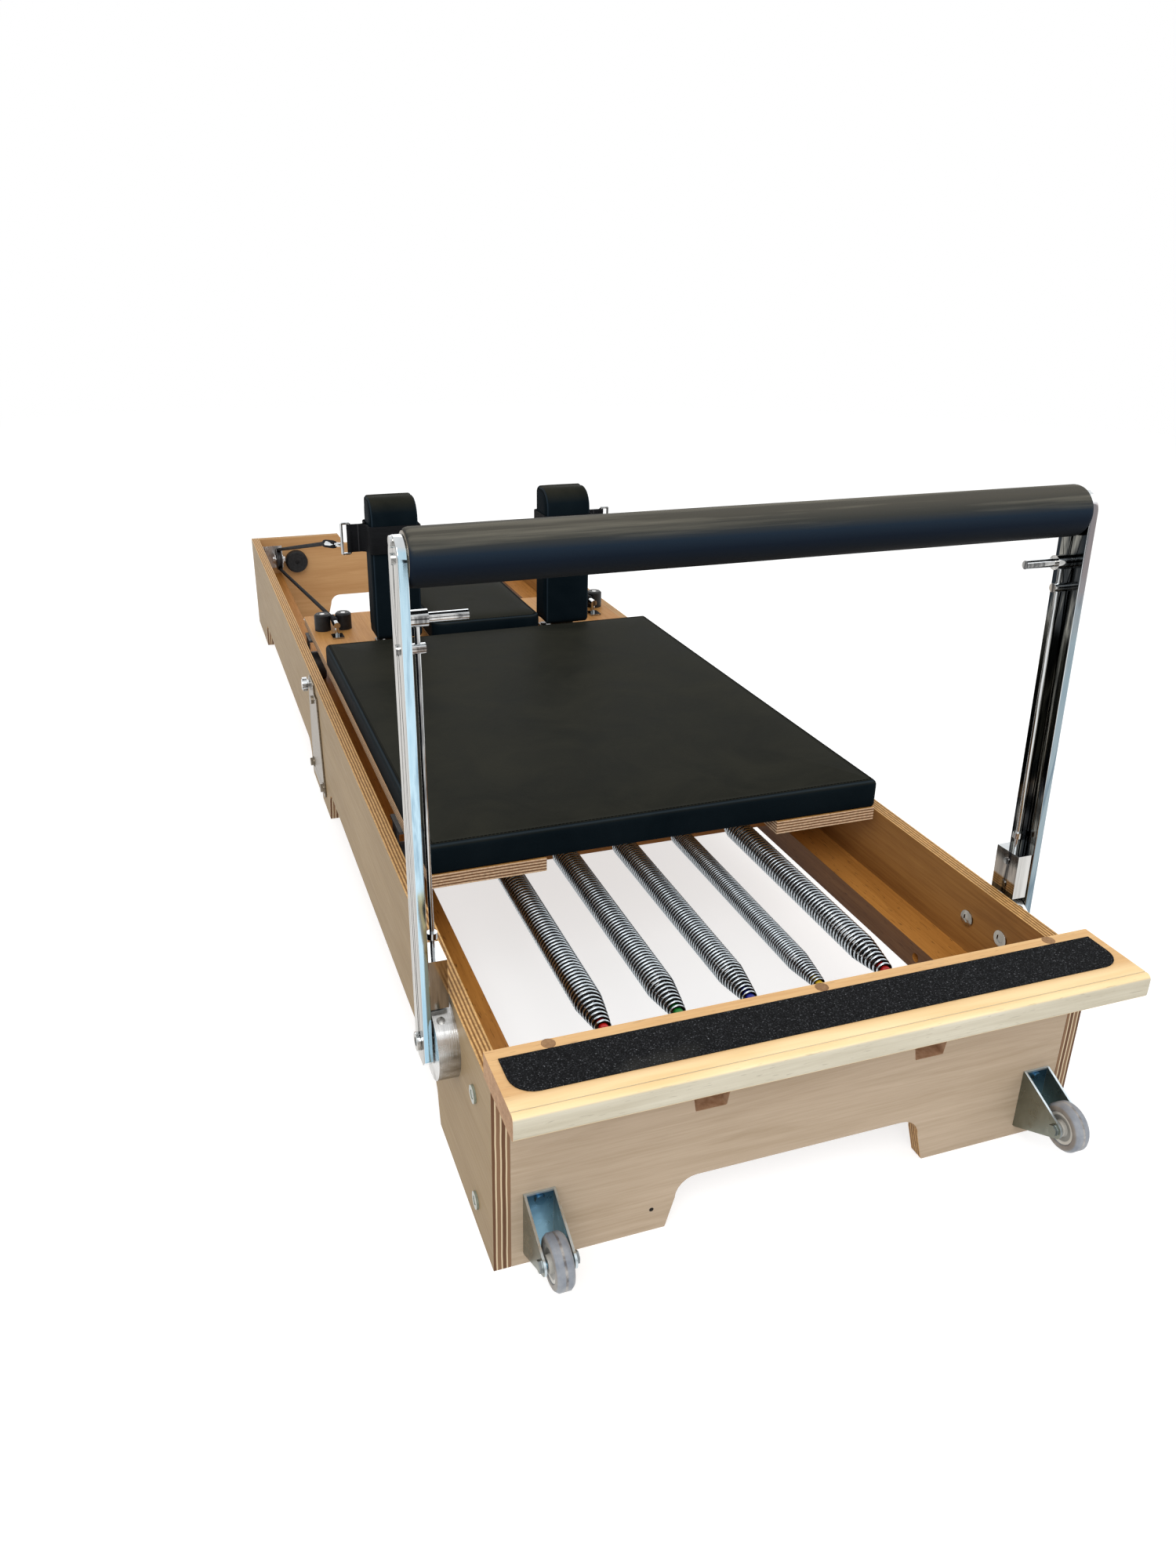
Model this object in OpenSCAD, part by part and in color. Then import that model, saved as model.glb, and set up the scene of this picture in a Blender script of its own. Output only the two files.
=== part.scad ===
// Folding pilates reformer, standing flat and ready for use.
// +X is to the right seen from the foot end, +Y runs from the foot end to the rope end, +Z is up.
// The origin is on the floor under the middle of the whole outline. Lengths along Y inside the
// modules are measured from the seam between the two folding halves, left is -X.

/* [Frame] */
// Outside width across the side rails
frame_width = 680; // [640:5:720]
// Length of each folding half
half_length = 1155; // [1130:5:1250]
// Height of the side rails
rail_height = 225; // [222:1:240]
// Thickness of the plywood rails and end panels
board_t = 18; // [15:1:20]
// Height of the arches cut under the rails and the end panels
arch_height = 60; // [40:1:75]
// Length of the foot at each outer end of a rail
outer_foot = 222; // [180:1:260]
// Length of the foot beside the seam
middle_foot = 105; // [90:1:140]
// Half width of the arch in the end panels, at the floor
panel_arch_half = 156; // [120:1:200]
// Depth of the dip in the top of the rear panel
panel_dip = 26; // [10:1:45]

/* [Tracks] */
// Width of the hardwood tracks
track_width = 50; // [44:1:54]
// Height of the hardwood tracks
track_height = 37; // [28:1:45]
// Height of the running surface above the floor
track_top = 132; // [128:1:136]

/* [Foot end] */
// How far the standing platform overhangs the front panel
overhang = 74.5; // [60:0.5:90]
// Width of the standing platform
platform_width = 682; // [640:1:700]
// Depth of the standing platform
platform_depth = 94.5; // [84:0.5:110]
// Thickness of the standing platform
platform_t = 27.5; // [20:0.5:35]
// Width of the non-slip strip
grip_width = 662; // [600:1:665]
// Depth of the non-slip strip
grip_depth = 53; // [40:1:60]
// Thickness of the non-slip strip
grip_t = 1.2; // [0.8:0.1:2]
// Thickness of the spring beam
beam_t = 36; // [28:1:40]
// Gap between the front panel and the spring beam
beam_gap = 26; // [15:1:32]

/* [Casters] */
// Radius of the transport wheels
caster_r = 27; // [24:0.5:29]
// Width of the transport wheels
caster_w = 19; // [16:1:22]
// Height of the wheel axle above the floor
caster_z = 56.5; // [52:0.5:60]
// Distance of the wheel axle from the front panel
caster_reach = 58; // [50:1:60]
// Distance of the wheels from the middle of the object
caster_x = 293; // [270:0.5:300]

/* [Footbar] */
// Distance of the footbar pivot from the foot end
pivot_from_end = 155; // [140:1:175]
// Height of the footbar pivot above the floor
pivot_z = 175; // [165:1:180]
// Height of the bar above its pivot
bar_height = 503; // [440:1:540]
// Backward lean of the footbar arms, in degrees
footbar_lean = 2; // [0:0.5:5]
// Thickness of the arms
arm_t = 9.5; // [8:0.5:14]
// Width of the arms
arm_w = 42; // [38:1:48]
// Radius of the padded bar
sleeve_r = 27.5; // [26:0.5:34]
// Radius of the steel tube inside the bar
tube_r = 24; // [18:0.5:25]
// Distance of the flats of the index discs from the pivot
disc_r = 42; // [38:1:44]
// Thickness of the index discs
disc_t = 22.5; // [20:0.5:26]
// Radius of the pivot bolts
pivot_r = 6; // [5:0.5:9]
// Radius of the lock pins
pin_r = 4; // [3:0.5:4.5]
// Travel of the lock pins
pin_travel = 14; // [10:1:16]

/* [Carriage] */
// Gap between the carriage board and each side rail
carriage_play = 14; // [11:1:20]
// Length of the carriage board
carriage_length = 1127; // [1100:1:1140]
// Distance of the front edge of the carriage from the foot end
carriage_from_end = 378; // [365:1:400]
// Thickness of the carriage board
carriage_t = 18; // [15:1:20]
// Height of the top of the carriage board
carriage_top = 239; // [236:1:242]
// Thickness of the carriage pad
pad_t = 44; // [35:1:60]
// How far the carriage pad stands past each side of the carriage board
pad_past = 2; // [-20:0.5:5]
// Length of the carriage pad
pad_length = 811; // [780:1:815]
// Radius of the carriage wheels
wheel_r = 28; // [24:1:32]
// Width of the carriage wheels
wheel_w = 24; // [18:1:26]
// Radius of the carriage wheel axles
axle_r = 4; // [3:0.5:5]

/* [Rests] */
// Width of each shoulder rest
rest_width = 90; // [80:1:100]
// Depth of each shoulder rest
rest_depth = 70; // [55:1:80]
// Height of each shoulder rest cushion
rest_height = 258; // [220:1:280]
// Height of the underside of the shoulder rests above the carriage board
rest_lift = 23; // [18:1:40]
// Distance from the middle to the inner side of a shoulder rest
rest_inner = 120; // [112:1:125]
// Gap between the carriage pad and the shoulder rests
rest_gap = 41; // [36:1:50]
// Width of the headrest
headrest_width = 210; // [180:1:216]
// Length of the headrest
headrest_length = 276; // [240:1:290]
// Thickness of the headrest cushion
headrest_t = 45; // [30:1:60]

/* [Springs] */
// Distance between neighbouring springs
spring_pitch = 88; // [76:1:92]
// Height of the springs above the floor
spring_z = 160; // [155:1:165]
// Radius of the four heavy springs at the middle of the wire
spring_r = 15; // [12:0.5:17]
// Radius of the light spring at the middle of the wire
light_spring_r = 12; // [9:0.5:14]
// Diameter of the spring wire
wire_d = 4; // [2.5:0.5:5]
// Curls drawn on each spring
curls = 18; // [12:1:18]

/* [Fold] */
// Distance of the link pivots from the seam
link_y = 62; // [58:1:68]
// Height of the link pivots above the floor
link_z = 42; // [38:1:46]
// Thickness of the link plates
link_t = 3; // [2:0.5:5]
// Radius of the link pivot bolts
link_bolt_r = 6; // [4:0.5:7]

/* [Ropes] */
// Diameter of the ropes
rope_d = 8; // [6:0.5:9]
// Width of the rope straps on the shoulder rests
strap_h = 50; // [40:1:55]

/* [Hidden] */

// Fineness of round shapes
$fn = 48;
// Play between a shaft and its bore
running_play = 0.05;
// Play round a fixed fastener
bolt_play = 0.1;
// Gap between pieces that move past each other
slip_gap = 0.3;
// Extra length of a cutting shape past the face it cuts
past = 1;

seam_y = max(overhang, caster_reach + caster_r) / 2;
rail_inner = frame_width / 2 - board_t;
beam_front = -half_length + board_t + beam_gap;
beam_rear = beam_front + beam_t;
track_x = rail_inner - track_width / 2;
rear_panel_y = half_length - board_t;
pivot_y = pivot_from_end - half_length;

// Footbar places across the object and along the arms
disc_outer = frame_width / 2 + disc_t;
arm_play = 1;
arm_inner = disc_outer + arm_play;
arm_outer = arm_inner + arm_t;
disc_sides = 12;
pin_x = arm_inner - 9;
disc_round = disc_r / cos(180 / disc_sides);
pin_tip = disc_round + 0.8;
block_low = pin_tip + 2.5;
block_height = 56;
block_t = disc_t - 3.5;
peg_z = bar_height - 83;
hub_z = bar_height - 55;
rod_r = 2.5;

// Link plate outline in Y and Z, and the two fasteners at its top
plate_low = 24;
plate_top = rail_height - 4;
plate_half = link_y + 4;
knob_at = [34, 207];
screw_at = [-2, 189];

// Carriage: its ends and the edge of its pad along Y, and its running gear
carriage_front = half_length - carriage_from_end;
carriage_rear = carriage_length - carriage_front;
carriage_width = 2 * (rail_inner - carriage_play);
carriage_low = carriage_top - carriage_t;
pad_width = carriage_width + 2 * pad_past;
pad_rear = pad_length - carriage_front;
rest_front = pad_rear + rest_gap;
rest_mid_y = rest_front + rest_depth / 2;
wheel_x = rail_inner - 26;
wheel_z = track_top + slip_gap + wheel_r;
wheel_front_y = -carriage_front + 187;
wheel_rear_y = carriage_rear - 80;
batten_low = 140;
batten_t = 30;
spring_end_y = -carriage_front + 167;
spring_start_y = beam_rear + 65;
tip_length = 20;
spring_colours = ["firebrick", "seagreen", "navy", "gold", "firebrick"];
rest_low = carriage_top + rest_lift;
strap_z = rest_low + 186;

// Rope pulley: place of its axle and radius of the rope's middle line round it
sheave_x = rail_inner - 43;
sheave_y = rear_panel_y - 37;
sheave_z = 178;
sheave_line = 25;
bumper_x = sheave_x - 48;
bumper_z = 163;
bumper_l = 22;

// Ends of the left ropes: the snap hook, and the anchor on the carriage behind two rubber guides
hook_end = [-sheave_x, rest_mid_y + 50, 430];
anchor_at = [-sheave_x + 15, rest_front + 121, 262];
guide_y = anchor_at[1] + 52;
guide_gap = 20.5;
guide_r = 15.5;
guide_h = 33;

// Slopes of the two runs and the places where they leave the pulley
upper_slope = atan((hook_end[2] - sheave_z - sheave_line) / (sheave_y - hook_end[1]));
lower_slope = atan((anchor_at[2] - sheave_z + sheave_line) / (sheave_y - guide_y));
function on_sheave(a) = [-sheave_x, sheave_y + sheave_line * cos(a), sheave_z + sheave_line * sin(a)];
function straight(a, b, n) = [for (i = [1:n]) a + (b - a) * i / n];
rope_meeting = on_sheave(90 - upper_slope) + 11.6 * [0, -cos(upper_slope), sin(upper_slope)];
round_pulley = [for (i = [0:8]) on_sheave((90 - upper_slope) * (1 - i / 8) - (90 + lower_slope) * i / 8)];
rope_way = unit(rope_meeting - hook_end);
rope_start = hook_end + 0.05 * rope_way;
upper_route = concat([rope_start], straight(rope_start, rope_meeting, 12));
lower_route = concat(
    [rope_meeting], round_pulley, straight(round_pulley[8], anchor_at + [0, 54, -2], 10),
    [anchor_at + [0, 28, 0], anchor_at + [0, 16, 0]]
);

// Helpers

module at_seam() translate([0, seam_y, 0]) children();

// The children on the left, and their mirror image on the right
module both_sides() {
    children();
    mirror([1, 0, 0]) children();
}

// The children as drawn for the left side, or mirrored to the right one
module on_side(side) mirror([side > 0 ? 1 : 0, 0, 0]) children();

module footbar_place() at_seam() translate([0, pivot_y, pivot_z]) rotate([-footbar_lean, 0, 0]) children();

// Cylinder along X from x0 to x1
module x_rod(x0, x1, r, y = 0, z = 0) {
    translate([min(x0, x1), y, z]) rotate([0, 90, 0]) cylinder(r = r, h = abs(x1 - x0));
}

// Cylinder along Y from y0 to y1
module y_rod(y0, y1, r, x = 0, z = 0) {
    translate([x, max(y0, y1), z]) rotate([90, 0, 0]) cylinder(r = r, h = abs(y1 - y0));
}

// Hexagon along X
module x_hex(x0, x1, r, y = 0, z = 0) {
    translate([min(x0, x1), y, z]) rotate([0, 90, 0]) cylinder(r = r, h = abs(x1 - x0), $fn = 6);
}

// Outline of an arch that opens downwards at height 0, with rounded upper corners
function arch_points(half, height, lean, r) = concat(
    [[-half, -past]],
    [for (a = [180:-15:90]) [-half + lean + r + r * cos(a), height - r + r * sin(a)]],
    [for (a = [90:-15:0]) [half - lean - r + r * cos(a), height - r + r * sin(a)]],
    [[half, -past]]
);

// Prism of an outline given in Y and Z, from x0 to x1
module yz_prism(points, x0, x1) {
    translate([x0, 0, 0]) rotate([90, 0, 90]) linear_extrude(x1 - x0) polygon(points);
}

// Prism of an outline given in X and Z, from y0 to y1
module xz_prism(points, y0, y1) {
    translate([0, y1, 0]) rotate([90, 0, 0]) linear_extrude(y1 - y0) polygon(points);
}

function unit(v) = v / norm(v);

// Direction of a route at point i
function heading(p, i) = unit(p[min(i + 1, len(p) - 1)] - p[max(i - 1, 0)]);

// Ring of points round a route at point i, its first point turned towards X
function ring(p, i, r, sides) =
    let (t = heading(p, i), a = unit([1, 0, 0] - t[0] * t), b = cross(t, a))
    [for (k = [0:sides - 1]) p[i] + r * (cos(360 * k / sides) * a + sin(360 * k / sides) * b)];

// Faces of a tube of n rings, every face a triangle
function tube_faces(n, sides) = concat(
    [for (k = [1:sides - 2]) [0, k, k + 1]],
    [for (i = [0:n - 2]) for (k = [0:sides - 1])
        let (m = (k + 1) % sides) [i * sides + k, (i + 1) * sides + k, (i + 1) * sides + m]],
    [for (i = [0:n - 2]) for (k = [0:sides - 1])
        let (m = (k + 1) % sides) [i * sides + k, (i + 1) * sides + m, i * sides + m]],
    [for (k = [1:sides - 2]) (n - 1) * sides * [1, 1, 1] + [0, k + 1, k]]
);

// Tube swept along a route
module swept(p, r, sides) {
    polyhedron([for (i = [0:len(p) - 1]) each ring(p, i, r, sides)], tube_faces(len(p), sides));
}

// Outline of a rounded rectangle whose sides are drawn in by draw between the corners
function cushion_ring(w, l, r, draw, z, inset) =
    let (hw = w / 2 - inset, hl = l / 2 - inset, c = max(r - inset, 1), n = 5)
    [for (q = [0:3]) each
        let (sx = q == 0 || q == 3 ? 1 : -1, sy = q < 2 ? 1 : -1, along_x = q % 2 == 0,
            from = [sx * (hw - c), sy * (hl - c)])
        concat(
            [for (k = [0:3]) [
                from[0] + c * cos(90 * q + 30 * k), from[1] + c * sin(90 * q + 30 * k), z]],
            [for (k = [1:n])
                let (f = k / (n + 1), d = draw * 4 * f * (1 - f))
                along_x
                    ? [from[0] * (1 - 2 * f), sy * (hl - d), z]
                    : [sx * (hw - d), from[1] * (1 - 2 * f), z]]
        )];

// Cushion with a flat bottom at z = 0, drawn-in sides, rounded edges and a crowned top
module cushion(w, l, t, r, draw, crown) {
    soft = min(t / 4, 8);
    body = [
        [0.6 * soft, 0], [0, 0.6 * soft], [0.7 * draw, t / 2], [0, t - soft - crown],
        [0.3 * soft, t - 0.3 * soft - crown], [soft, t - crown],
    ];
    side_rings = [for (b = body) cushion_ring(w, l, r, draw, b[1], b[0])];
    top = cushion_ring(w, l, r, draw, 0, soft);
    shares = [0.86, 0.62, 0.32];
    top_rings = [for (s = shares) [for (p = top) [s * p[0], s * p[1], t - crown * s * s]]];
    rings = concat(side_rings, top_rings);
    sides = len(top);
    last = len(rings) - 1;
    points = concat([for (q = rings) each q], [[0, 0, t], [0, 0, 0]]);
    faces = concat(
        [for (i = [0:last - 1]) for (k = [0:sides - 1])
            let (m = (k + 1) % sides) [i * sides + k, (i + 1) * sides + m, i * sides + m]],
        [for (i = [0:last - 1]) for (k = [0:sides - 1])
            let (m = (k + 1) % sides) [i * sides + k, (i + 1) * sides + k, (i + 1) * sides + m]],
        [for (k = [0:sides - 1]) [last * sides + k, len(points) - 2, last * sides + (k + 1) % sides]],
        [for (k = [0:sides - 1]) [k, (k + 1) % sides, len(points) - 1]]
    );
    polyhedron(points, faces);
}

// Frame boards

// Front half rail about its own middle plane, from the front end to the seam
module rail_blank() {
    arch_length = half_length - outer_foot - middle_foot;
    difference() {
        translate([-board_t / 2, -half_length, 0]) cube([board_t, half_length, rail_height]);
        translate([0, -middle_foot - arch_length / 2, 0])
            yz_prism(arch_points(arch_length / 2, arch_height, 8, 34), -board_t / 2 - past, board_t / 2 + past);
        link_corner();
        x_rod(-board_t, board_t, link_bolt_r + running_play, -link_y, link_z);
    }
}

// What is cut from the lower seam corner so that the other half can swing round the link pivot
module link_corner() {
    difference() {
        translate([-board_t, -link_y, -past]) cube([2 * board_t, link_y + past, link_z + past]);
        x_rod(-board_t - past, board_t + past, link_y - slip_gap / 2, -link_y, link_z);
    }
}

module front_rail(side) at_seam() color("tan") difference() {
    translate([side * (frame_width - board_t) / 2, 0, 0]) rail_blank();
    on_side(side) {
        x_rod(-frame_width, -rail_inner - 3.5, pivot_r + bolt_play, pivot_y, pivot_z);
        disc_bolt_places() x_rod(-frame_width, -rail_inner + past, pin_r + bolt_play);
        beam_bolt_places() x_rod(-board_t - past, past, pin_r + bolt_play);
    }
}

module rear_rail(side) at_seam() color("tan") {
    translate([side * (frame_width - board_t) / 2, 0, 0]) mirror([0, 1, 0]) rail_blank();
}

// Board across the frame between the rails, its outer face at y0
module panel_blank(y0) difference() {
    translate([-rail_inner, y0, 0]) cube([2 * rail_inner, board_t, rail_height]);
    xz_prism(arch_points(panel_arch_half, arch_height, 10, 24), y0 - past, y0 + board_t + past);
}

// Places of the two notches in the top of the front panel
notch_x = [-112, 144];
notch_depth = 82;

module front_panel() at_seam() color("burlywood") difference() {
    panel_blank(-half_length);
    for (x = notch_x) translate([x, 0, rail_height]) xz_prism(
        [[-31, past], [-17, -notch_depth], [17, -notch_depth], [31, past]],
        -half_length - past, -half_length + board_t + past);
}

module rear_panel() at_seam() color("burlywood") difference() {
    panel_blank(rear_panel_y);
    translate([0, 0, rail_height]) mirror([0, 0, 1])
        xz_prism(arch_points(116, panel_dip, 12, 9), rear_panel_y - past, half_length + past);
}

// Portal board behind the front panel that carries the springs
beam_top = 200;
beam_leg = 52;
module spring_beam() at_seam() color("sienna") difference() {
    translate([-rail_inner, beam_front, 15]) cube([2 * rail_inner, beam_t, beam_top - 15]);
    translate([-rail_inner + beam_leg, beam_front - past, 15 - past])
        cube([2 * (rail_inner - beam_leg), beam_t + 2 * past, 95 + past]);
    beam_bolt_places() x_rod(-past, 22, pin_r + bolt_play);
    mirror([1, 0, 0]) beam_bolt_places() x_rod(-past, 22, pin_r + bolt_play);
    for (i = [-2:2]) y_rod(beam_rear + past, beam_rear - 20, hook_r + bolt_play, i * spring_pitch, spring_z);
}

// Narrow board across a half beside the seam
tie_low = 22;
tie_from_seam = 92;
module tie() {
    translate([-rail_inner, 0, tie_low]) cube([2 * rail_inner, board_t, track_top - track_height - tie_low]);
}
module front_tie() at_seam() color("peru") translate([0, -tie_from_seam - board_t, 0]) tie();
module rear_tie() at_seam() color("peru") translate([0, tie_from_seam, 0]) tie();

module tracks(y0, y1) both_sides() {
    translate([-rail_inner, y0, track_top - track_height]) cube([track_width, y1 - y0, track_height]);
}
module front_tracks() at_seam() color("chocolate") difference() {
    tracks(beam_rear, 0);
    both_sides() x_rod(-rail_inner + track_width + past, -rail_inner + 25, 6, pivot_y + 49, track_top - 18);
}
module rear_tracks() at_seam() color("chocolate") tracks(0, rear_panel_y);

// Foot end

platform_front = -half_length - overhang;
module standing_platform() at_seam() color("wheat") {
    translate([-platform_width / 2, platform_front + 9, rail_height])
        cube([platform_width, platform_depth - 9, platform_t]);
    translate([-platform_width / 2, platform_front, rail_height + 6])
        cube([platform_width, 9, platform_t - 12]);
    for (z = [rail_height + 6, rail_height + platform_t - 6]) intersection() {
        x_rod(-platform_width / 2, platform_width / 2, 6, platform_front + 6, z);
        translate([-platform_width / 2, platform_front, rail_height])
            cube([platform_width, 9, platform_t]);
    }
}

// Strip with square back corners and rounded front corners
grip_front = platform_front + 27;
grip_corner = 24;
module platform_grip() at_seam() color("black") translate([0, grip_front, rail_height + platform_t]) {
    linear_extrude(grip_t) polygon(concat(
        [[grip_width / 2, grip_depth], [-grip_width / 2, grip_depth]],
        [for (a = [180:15:270]) [-grip_width / 2 + grip_corner + grip_corner * cos(a),
            grip_corner + grip_corner * sin(a)]],
        [for (a = [270:15:360]) [grip_width / 2 - grip_corner + grip_corner * cos(a),
            grip_corner + grip_corner * sin(a)]]
    ));
}

hook_r = 3;
module spring_hooks() at_seam() color("lightgray") for (i = [-2:2]) {
    y_rod(beam_rear - 18, spring_start_y - tip_length, hook_r, i * spring_pitch, spring_z);
    translate([i * spring_pitch, beam_rear, spring_z]) rotate([-90, 0, 0]) difference() {
        cylinder(r = 9, h = 3);
        translate([0, 0, -past]) cylinder(r = hook_r, h = 3 + 2 * past);
    }
}

// Middle line of a spring: straight ends on the axis and curls that open out of the front end
rings_per_curl = 8;
function spring_line(radius, length) =
    let (run = length - 2 * wire_d, n = curls * rings_per_curl)
    concat([[0, 0, 0]],
        [for (i = [0:n])
            let (f = i / n, open = min(1, f * curls / 3.2, (1 - f) * curls / 1.4), a = 360 * i / rings_per_curl)
            [radius * open * cos(a), wire_d + run * f, radius * open * sin(a)]],
        [[0, length, 0]]);

module coil_ring_tube(p) {
    sides = 6;
    n = len(p);
    points = [for (i = [0:n - 1])
        let (t = i == 0 || i == n - 1 ? [0, 1, 0] : heading(p, i),
            a = unit(cross(t, cross([0, 0, 1], t))), b = cross(t, a))
        for (k = [0:sides - 1]) p[i] + wire_d / 2 * (cos(60 * k) * a + sin(60 * k) * b)];
    polyhedron(points, tube_faces(n, sides));
}

// Least distance between points of a spring that are half a curl or more apart
function self_gap(p) = min([for (i = [1:len(p) - 2]) for (j = [i + 4:min(i + 12, len(p) - 2)])
    norm(p[i] - p[j])]) - wire_d;
echo(least_gap_in_heavy_spring = self_gap(spring_line(spring_r, spring_end_y - spring_start_y)));
echo(least_gap_in_light_spring = self_gap(spring_line(light_spring_r, spring_end_y - spring_start_y)));

// Spring number i from the left: the coloured tip at the hook and the coil behind it
module spring(i) at_seam() translate([(i - 2) * spring_pitch, spring_start_y, spring_z]) {
    color(spring_colours[i]) y_rod(-tip_length, 0, 6);
    color("silver") coil_ring_tube(spring_line(i == 3 ? light_spring_r : spring_r, spring_end_y - spring_start_y));
}

// Bolts of the front half

// Places of the two bolts of a disc, in Y and Z from its middle, and heights of the two beam bolts
disc_bolts = [[-35, 8], [26, 1]];
beam_bolts = [35, 171];
module disc_bolt_places() for (b = disc_bolts) translate([0, pivot_y + b[0], pivot_z + b[1]]) children();
module beam_bolt_places() for (z = beam_bolts)
    translate([-rail_inner, (beam_front + beam_rear) / 2, z]) children();

disc_bolt_reach = 9;
pivot_head = 4;
module frame_bolts() at_seam() color("silver") both_sides() {
    x_rod(-rail_inner - 4, -arm_outer - slip_gap, pivot_r, pivot_y, pivot_z);
    socket_head(-arm_outer - slip_gap, pivot_r + 4, pivot_head, pivot_y, pivot_z);
    disc_bolt_places() {
        x_rod(-frame_width / 2 - disc_bolt_reach, -rail_inner, pin_r);
        mirror([1, 0, 0]) socket_head(rail_inner, 10.5, 2, 0, 0);
    }
    beam_bolt_places() {
        x_rod(-board_t - 2, 20, pin_r);
        socket_head(-board_t, 9.5, 2.5, 0, 0);
    }
}

// Round bolt head with a six-sided socket, standing out to the left of x
module socket_head(x, r, h, y, z) difference() {
    x_rod(x - h, x, r, y, z);
    x_hex(x - h - past, x - 0.45 * h, 0.55 * r, y, z);
}

// Round discs with a flat and a radial hole at each angle that the footbar can lock to
lock_angles = [-60, -30, 0, 33];
module index_discs() footbar_place() color("silver") both_sides() difference() {
    x_rod(-disc_outer, -frame_width / 2, disc_round);
    x_rod(-disc_outer - past, -frame_width / 2 + past, pivot_r + bolt_play);
    for (a = lock_angles) rotate([a, 0, 0]) {
        translate([-disc_outer - past, -disc_r, disc_r]) cube([disc_t + 2 * past, 2 * disc_r, disc_r]);
        translate([-pin_x, 0, pin_tip - pin_travel - 3]) cylinder(r = pin_r + 0.5, h = disc_r, $fn = 32);
    }
    rotate([footbar_lean, 0, 0]) translate([0, -pivot_y, -pivot_z]) disc_bolt_places()
        x_rod(-frame_width / 2 - disc_bolt_reach, -frame_width / 2 + past, pin_r + bolt_play);
}

// Casters

bracket_t = 2.5;
bracket_half = caster_w / 2 + 7;
bracket_low = 15;
bracket_height = 76;
bracket_screw_z = bracket_low + bracket_height - 9;
bracket_screw_r = 3;
caster_y = -half_length - caster_reach;
axle_bolt_r = 4;
module caster_brackets() at_seam() color("lightsteelblue") both_sides() {
    difference() {
        union() {
            translate([-caster_x - bracket_half, -half_length - bracket_t, bracket_low])
                cube([2 * bracket_half, bracket_t, bracket_height]);
            for (x = [-caster_x - bracket_half, -caster_x + bracket_half - bracket_t]) {
                yz_prism([
                    [-half_length - bracket_t, bracket_low + bracket_height],
                    [caster_y - 6, caster_z + 8], [caster_y - 6, caster_z - 8],
                    [-half_length - bracket_t, bracket_low], [-half_length, bracket_low],
                    [-half_length, bracket_low + bracket_height],
                ], x, x + bracket_t);
                x_rod(x, x + bracket_t, 10, caster_y, caster_z);
            }
        }
        x_rod(-caster_x - bracket_half - past, -caster_x + bracket_half + past,
            axle_bolt_r + bolt_play, caster_y, caster_z);
        y_rod(-half_length - bracket_t - past, -half_length + past, bracket_screw_r + bolt_play,
            -caster_x, bracket_screw_z);
    }
    x_rod(-caster_x - bracket_half - 1, -caster_x + bracket_half + 1, axle_bolt_r, caster_y, caster_z);
    x_hex(-caster_x - bracket_half, -caster_x - bracket_half - 3.5, 6.5, caster_y, caster_z);
    x_hex(-caster_x + bracket_half, -caster_x + bracket_half + 3.5, 6.5, caster_y, caster_z);
    y_rod(-half_length - bracket_t - 2.5, -half_length - bracket_t, 5.5, -caster_x, bracket_screw_z);
    y_rod(-half_length - bracket_t, -half_length, bracket_screw_r, -caster_x, bracket_screw_z);
}

tyre_t = 9;
module caster_tyre(side) at_seam() color("gainsboro") on_side(side)
    translate([-caster_x, caster_y, caster_z]) rotate([0, 90, 0]) rotate_extrude() polygon([
        [caster_r - tyre_t, -caster_w / 2], [caster_r - 3, -caster_w / 2], [caster_r, -caster_w / 2 + 4],
        [caster_r, caster_w / 2 - 4], [caster_r - 3, caster_w / 2], [caster_r - tyre_t, caster_w / 2],
    ]);
module caster_hub(side) at_seam() color("whitesmoke") on_side(side)
    translate([-caster_x, caster_y, caster_z]) rotate([0, 90, 0]) rotate_extrude() polygon([
        [axle_bolt_r + running_play, -caster_w / 2 - 2], [9, -caster_w / 2 - 2], [9, -caster_w / 2 + 3],
        [caster_r - tyre_t, -caster_w / 2 + 1], [caster_r - tyre_t, caster_w / 2 - 1],
        [9, caster_w / 2 - 3], [9, caster_w / 2 + 2], [axle_bolt_r + running_play, caster_w / 2 + 2],
    ]);

// Rear half fittings

module rear_bumpers() at_seam() color("black") both_sides()
    translate([-bumper_x, rear_panel_y, bumper_z]) rotate([90, 0, 0]) rotate_extrude() polygon([
        [0, 0], [28.5, 0], [28.5, bumper_l - 4], [25, bumper_l], [5, bumper_l], [5, bumper_l - 3],
        [0, bumper_l - 3],
    ]);

cheek_gap = 17;
cheek_t = 2;
module pulley_brackets() at_seam() color("silver") both_sides() {
    difference() {
        union() {
            translate([-sheave_x - 37, rear_panel_y - 3, sheave_z - 30]) cube([50, 3, 58]);
            for (x = [-sheave_x - cheek_gap / 2 - cheek_t, -sheave_x + cheek_gap / 2]) {
                translate([x, sheave_y, sheave_z - 12]) cube([cheek_t, rear_panel_y - 2 - sheave_y, 24]);
                x_rod(x, x + cheek_t, 12, sheave_y, sheave_z);
            }
        }
        x_rod(-sheave_x - 20, -sheave_x + 20, axle_r + bolt_play, sheave_y, sheave_z);
    }
    x_rod(-sheave_x - 12, -sheave_x + 12, axle_r, sheave_y, sheave_z);
    x_hex(-sheave_x - cheek_gap / 2 - cheek_t, -sheave_x - cheek_gap / 2 - cheek_t - 5, 7, sheave_y, sheave_z);
    x_hex(-sheave_x + cheek_gap / 2 + cheek_t, -sheave_x + cheek_gap / 2 + cheek_t + 5, 7, sheave_y, sheave_z);
    for (z = [-22, 20]) y_rod(rear_panel_y - 5.5, rear_panel_y - 3, 5, -sheave_x - 27, sheave_z + z);
}

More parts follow.
